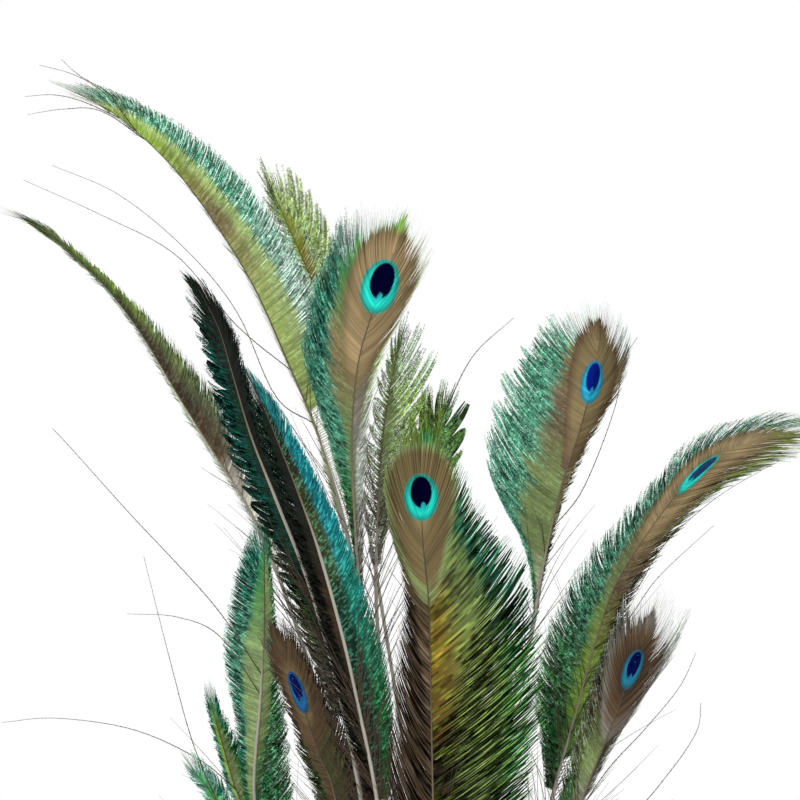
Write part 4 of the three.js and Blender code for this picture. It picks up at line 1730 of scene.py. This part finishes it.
ARCHING_RIGHT = FeatherPlan(
    name="feather_arching_right", slot="feather_teal", stem=15, quill=2.0, vane=260,
    spine=((44, -4, 270), (61, 0, 350), (72, 2, 390), (82, 4, 425), (92, 5, 455), (107, 5, 480),
           (125, 4, 504), (143, 2, 521), (166, -1, 531), (188, -4, 534), (211, -8, 532)),
    turn=(-10, -57, -70), wisps=80,
    left=HalfVane(
        widths=(5, 27, 32, 29, 34, 16), fold=4, web=(0.1, 0.15, 0.2, 0.4, 0.5, 0.4), gap_shade=0.85,
        inner=(T.GREEN, T.LEAF, T.OLIVE, T.COCOA, T.BRONZE, T.LEAF), pitch=(0.7, 0.65, 0.5),
        outer=(T.EMERALD, T.GREEN, T.SEA, T.SEA, T.SEA, T.LEAF), lean=(62, 66), fringe=1.3, ragged=0.05,
    ),
    right=HalfVane(
        widths=(3, 12, 14, 18, 29, 20), fold=4, web=(0.1, 0.2, 0.4, 0.93, 0.93, 0.7), fringe=0.6, ragged=0.02,
        inner=(T.GREEN, T.LEAF, T.COCOA, T.BRONZE, T.BRONZE, T.LEAF), comb=0.1, clump=0.05, fade=(0.6, 1.0),
        outer=(T.GREY, T.OLIVE, T.COCOA, T.OLIVE, T.LEAF, T.CHARTREUSE), pitch=(1.2, 0.9, 0.6),
    ),
    eye=Eyespot(0.68, (5.5, 14), (16, 42, 50), pupil=(0.004, 0.06, 0.2)),
    herls=(
        (0.35, ((102, -4, 454), (116, -12, 478), (142, -18, 502), (172, -22, 520))),
        (0.28, ((98, -6, 440), (113, -14, 462), (140, -20, 488))),
    ),
)

EYED_LOW_RIGHT = FeatherPlan(
    name="feather_eyed_low_right", slot="feather_green", stem=14, quill=1.9, vane=160,
    spine=((46, -28, 270), (60, -38, 322), (73, -45, 355), (86, -51, 388), (97, -56, 419), (105, -61, 440),
           (111, -65, 463)),
    turn=(-6, -12, -18), wisps=60,
    left=HalfVane(
        widths=(2, 9, 14, 17, 17, 15), fold=6, web=(0.1, 0.3, 0.4, 0.5, 0.8, 0.6), fringe=0.7,
        inner=(T.GREY, T.GREY, T.OLIVE, T.UMBER, T.COCOA, T.GREY), pitch=(1.0, 0.8, 0.65),
        outer=(T.EMERALD, T.GREEN, T.OLIVE, T.COCOA, T.GREY, T.WHITE),
    ),
    right=HalfVane(
        widths=(2, 2, 4, 9, 17, 16), fold=38, web=(0.1, 0.3, 0.3, 0.4, 0.5, 0.5), fringe=0.1, lean=(14, 26),
        inner=(T.GREY, T.GREY, T.UMBER, T.UMBER, T.COCOA, T.GREY), pitch=(1.0, 0.8, 0.65),
        outer=(T.GREY, T.GREY, T.GREY, T.COCOA, T.SILVER, T.WHITE), clump=0.05,
    ),
    eye=Eyespot(0.71, (4.6, 10.5), (14, 27, 36), pupil=(0.002, 0.006, 0.07), glow=(0.01, 0.2, 0.3),
                rim=(T.UMBER, T.UMBER, T.COCOA, T.GREY)),
    herls=(
        (0.18, ((86, -40, 369), (104, -42, 389), (121, -44, 410), (129, -46, 427))),
        (0.08, ((98, -34, 347), (117, -36, 368), (130, -38, 388), (132, -39, 402))),
    ),
)

THIN_LEFT = FeatherPlan(
    name="feather_thin_left", slot="feather_olive", stem=5, quill=1.8, vane=250,
    spine=((-28, 24, 270), (-41, 26, 347), (-66, 28, 430), (-88, 30, 487), (-111, 32, 525), (-128, 34, 552),
           (-146, 36, 582), (-163, 37, 605), (-177, 39, 619), (-200, 41, 639), (-225, 42, 650)),
    turn=(0, 4, 10),
    left=HalfVane(
        widths=(1, 3, 3, 2, 2, 1), fold=40, web=(0.2, 0.3, 0.4, 0.4, 0.4, 0.4), fringe=0.15, lean=(20, 20),
        inner=(T.SILVER, T.SILVER, T.PALE, T.PALE, T.OLIVE, T.OLIVE), ragged=0.03, clump=0.05,
        outer=(T.SILVER, T.SILVER, T.PALE, T.GREY, T.OLIVE, T.OLIVE), gap_shade=0.4, glints=0.3,
    ),
    right=HalfVane(
        widths=(2, 13, 19, 10, 4, 2), fold=25, web=(0.1, 0.2, 0.6, 0.7, 0.7, 0.6), fringe=0.35, comb=0.36,
        lean=(40, 48), ragged=0.02, comb_clump=0.9, lock=6.0,
        inner=(T.IVORY, T.IVORY, T.COCOA, T.UMBER, T.UMBER, T.MOSS, T.MOSS, T.MOSS), fade=(0.1, 0.8),
        outer=(T.IVORY, T.IVORY, T.GREY, T.OLIVE, T.OLIVE, T.LEAF, T.OLIVE, T.MOSS),
    ),
)

BLACK = FeatherPlan(
    name="feather_black", slot="feather_dark", stem=10, quill=2.0, vane=240,
    spine=((-23, -27, 270), (-34, -29, 353), (-46, -30, 410), (-60, -31, 460), (-75, -32, 499),
           (-88, -32, 532), (-97, -32, 562), (-104, -32, 585), (-114, -32, 604), (-126, -32, 618)),
    turn=(-4, -7, -10), wisps=120, pale=0.45,
    left=HalfVane(
        widths=(6, 12, 13, 14, 12, 5), fold=12, web=(0.1, 0.2, 0.3, 0.3, 0.4, 0.95), ragged=0.2,
        inner=(T.UMBER, T.SOOT, T.BOTTLE, T.BOTTLE, T.SOOT, T.SOOT), glints=0.6, gap_shade=1, lock=7, clump=0.75,
        spark=T.TEAL, web_shade_and_glints=0.4, lean=(48, 50),
        outer=(T.GREY, T.MOSS, T.BOTTLE, T.DEEP_TEAL, T.DEEP_TEAL, T.SOOT), fringe=0.9,
    ),
    right=HalfVane(
        widths=(3, 6, 6, 7, 7, 4), fold=30, web=(0.1, 0.2, 0.3, 0.4, 0.7, 0.95),
        inner=(T.UMBER, T.SOOT, T.SOOT, T.SOOT, T.SOOT, T.SOOT), glints=0.15, gap_shade=1, spark=T.TEAL,
        outer=(T.GREY, T.SOOT, T.SOOT, T.SOOT, T.SOOT, T.SOOT),
    ),
)

BLUE_EDGE = FeatherPlan(
    name="feather_blue_edge", slot="feather_dark", stem=11, quill=2.0, vane=230,
    spine=((-14, -36, 270), (-26, -42, 354), (-35, -47, 400), (-43, -52, 436), (-54, -55, 476),
           (-63, -57, 502), (-72, -59, 525), (-82, -60, 549), (-94, -60, 573)),
    turn=(0, 5, 10), wisps=130, pale=0.5,
    left=HalfVane(
        widths=(5, 10, 10, 10, 8, 2), fold=15, web=(0.1, 0.2, 0.3, 0.4, 0.4, 0.3),
        inner=(T.UMBER, T.SOOT, T.UMBER, T.SOOT, T.SOOT, T.SOOT), glints=0.2, gap_shade=1, spark=T.OLIVE,
        outer=(T.UMBER, T.SOOT, T.SOOT, T.SOOT, T.BOTTLE, T.BOTTLE),
    ),
    right=HalfVane(
        widths=(7, 17, 17, 14, 9, 3), fold=10, web=(0.1, 0.3, 0.7, 0.95, 0.95, 0.9), fringe=1.0,
        inner=(T.UMBER, T.BOTTLE, T.BOTTLE, T.MOSS, T.SOOT, T.SOOT), pitch=(0.7, 0.55), clump=0.1, gap_shade=0.5,
        outer=(T.EMERALD, T.EMERALD, T.TEAL, T.BLUE, T.BLUE, T.BOTTLE), fade=(0.25, 0.55), ragged=0.02,
        breadth=0.3, web_shade_and_glints=0.9, glints=1.0, spark=T.SEA, lean=(54, 44),
    ),
)

EYED_LOW_LEFT = FeatherPlan(
    name="feather_eyed_low_left", slot="feather_olive", stem=9, quill=1.8, vane=150,
    spine=((-34, -15, 270), (-47, -16, 352), (-55, -16, 374), (-65, -17, 404), (-73, -17, 424),
           (-83, -17, 450)),
    turn=(-6, -10, -14), wisps=80,
    left=HalfVane(
        widths=(2, 9, 11, 9, 9, 7), fold=8, web=(0.1, 0.3, 0.4, 0.6, 0.7, 0.6), fringe=0.9,
        inner=(T.GREY, T.UMBER, T.COCOA, T.COCOA, T.COCOA, T.UMBER), spark=T.GREEN,
        outer=(T.GREY, T.EMERALD, T.MOSS, T.UMBER, T.GREY, T.UMBER),
    ),
    right=HalfVane(
        widths=(8, 20, 20, 15, 11, 7), fold=12, web=(0.1, 0.1, 0.2, 0.6, 0.7, 0.6), fringe=0.9,
        inner=(T.UMBER, T.COCOA, T.MOSS, T.COCOA, T.COCOA, T.UMBER), spark=T.OLIVE,
        outer=(T.UMBER, T.SOOT, T.UMBER, T.UMBER, T.UMBER, T.UMBER),
    ),
    eye=Eyespot(0.68, (3.6, 11), (9, 26, 30), pupil=(0.004, 0.012, 0.12), glow=(0.01, 0.17, 0.42),
                rim=(T.COCOA, T.BRONZE, T.COCOA, T.COCOA)),
)

BOWED_LEFT = FeatherPlan(
    name="feather_bowed_left", slot="feather_green", stem=7, quill=1.8, vane=200,
    spine=((-60, 7, 270), (-78, 6, 315), (-88, 6, 350), (-85, 5, 400), (-83, 4, 438), (-83, 2, 470),
           (-83, 1, 502)),
    turn=(0, 0, 0), pale=0.5,
    left=HalfVane(
        widths=(2, 5, 11, 20, 15, 3), fold=8, web=(0.3, 0.4, 0.45, 0.45, 0.3, 0.2), ragged=0.04,
        inner=(T.PALE, T.SAGE, T.SAGE, T.SAGE, T.GREEN, T.TEAL), fringe=0.7, pitch=(0.7, 0.65), lean=(68, 60),
        outer=(T.GREEN, T.GREEN, T.TEAL, T.SEA, T.TEAL, T.TEAL),
    ),
    right=HalfVane(
        widths=(2, 18, 15, 8, 4, 2), fold=10, web=(0.1, 0.1, 0.2, 0.6, 0.5, 0.2),
        inner=(T.EMERALD, T.EMERALD, T.OLIVE, T.SAGE, T.SAGE, T.GREEN),
        outer=(T.EMERALD, T.EMERALD, T.EMERALD, T.GREEN, T.GREEN, T.TEAL),
    ),
    herls=(
        (0.5, ((-105, -2, 432), (-126, -8, 442), (-150, -14, 444))),
        (0.55, ((-108, -4, 448), (-150, -16, 495), (-176, -24, 525), (-186, -27, 536))),
    ),
)

SMALL_LEFT = FeatherPlan(
    name="feather_small_left", slot="feather_green", stem=6, quill=1.6, vane=110,
    spine=((-50, 20, 262), (-76, 23, 312), (-96, 25, 347), (-105, 26, 375), (-110, 27, 392),
           (-114, 28, 411)),
    turn=(0, 0, 0),
    left=HalfVane(
        widths=(2, 4, 4, 4, 3, 2), fold=10, web=(0.3, 0.4, 0.4, 0.4, 0.4, 0.3), pitch=(1.1, 1.1),
        inner=(T.CHARTREUSE, T.CHARTREUSE, T.LEAF, T.GREEN), outer=(T.GREEN, T.TEAL, T.SEA, T.TEAL),
    ),
    right=HalfVane(
        widths=(2, 8, 12, 10, 5, 3), fold=16, web=(0.2, 0.3, 0.4, 0.4, 0.4, 0.3), pitch=(1.1, 1.1),
        inner=(T.EMERALD, T.SAGE, T.OLIVE, T.GREEN), outer=(T.EMERALD, T.GREEN, T.EMERALD, T.TEAL),
    ),
    herls=((0.45, ((-118, 20, 369), (-150, 14, 384), (-188, 10, 390), (-215, 8, 388))),),
)

SHORT_LEFT = FeatherPlan(
    name="feather_short_left", slot="feather_green", stem=8, quill=1.6, vane=90,
    spine=((-56, -12, 250), (-82, -19, 304), (-106, -26, 353), (-115, -28, 366), (-124, -30, 380)),
    turn=(0, 0, 0),
    left=HalfVane(
        widths=(2, 5, 5, 5, 4, 3), fold=12, web=(0.2, 0.3, 0.3, 0.3, 0.3, 0.2), pitch=(1.1, 1.1), ragged=0.25,
        inner=(T.LEAF, T.LEAF, T.GREEN, T.SEA), outer=(T.GREEN, T.TEAL, T.SEA, T.MINT),
    ),
    right=HalfVane(
        widths=(2, 8, 9, 9, 7, 4), fold=16, web=(0.2, 0.3, 0.3, 0.3, 0.3, 0.2), pitch=(1.1, 1.1), ragged=0.25,
        inner=(T.LEAF, T.LEAF, T.GREEN, T.SEA), outer=(T.GREEN, T.GREEN, T.TEAL, T.MINT),
    ),
    herls=((0.5, ((-116, -32, 380), (-128, -38, 425), (-140, -42, 474))),),
)

FISHTAIL = FeatherPlan(
    name="feather_fishtail", slot="feather_olive", stem=2, quill=1.7, vane=130,
    spine=((12, 32, 270), (5, 38, 345), (1, 41, 400), (0, 42, 468), (1, 42, 509), (4, 42, 530),
           (8, 42, 545), (13, 42, 561)),
    turn=(0, 0, 0),
    left=HalfVane(
        widths=(2, 5, 10, 14, 15, 11), fold=5, web=SPARSE_WEB, pitch=(1.0, 1.0), fringe=1.5, ragged=0.2,
        inner=(T.OLIVE, T.OLIVE, T.LEAF), outer=(T.OLIVE, T.LEAF, T.LEAF), clump=0.8, lock=11,
        thinning=0.1,
    ),
    right=HalfVane(
        widths=(2, 5, 9, 12, 13, 10), fold=5, web=SPARSE_WEB, pitch=(1.0, 1.0), fringe=1.5, ragged=0.2,
        inner=(T.OLIVE, T.OLIVE, T.LEAF), outer=(T.OLIVE, T.LEAF, T.GREEN), clump=0.8, lock=11,
        thinning=0.1,
    ),
    herls=((0.85, ((22, 40, 572), (43, 36, 592))),),
)

BUNCH = (
    ARCHING_LEFT, TUFT_BACK, EYED_UPPER, SPARSE_BACK, EYED_FRONT, EYED_RIGHT, ARCHING_RIGHT, EYED_LOW_RIGHT,
    THIN_LEFT, BLACK, BLUE_EDGE, EYED_LOW_LEFT, BOWED_LEFT, SMALL_LEFT, SHORT_LEFT, FISHTAIL,
)


def main() -> None:
    """Builds the studio, the vase and the feathers in order."""
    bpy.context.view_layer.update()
    Studio().build()
    LOG.info("vase: %d faces", Vase().build())
    horn, herl = QuillMaterial().data, HerlMaterial().data
    total = 0
    for plan in BUNCH:
        count = Feather(plan, horn, herl).build()
        total += count
        LOG.info("%s: %d faces", plan.name, count)
    LOG.info("feathers: %d faces in all", total)


if __name__ == "__main__":
    logging.basicConfig(level=logging.INFO, stream=sys.stdout)
    main()
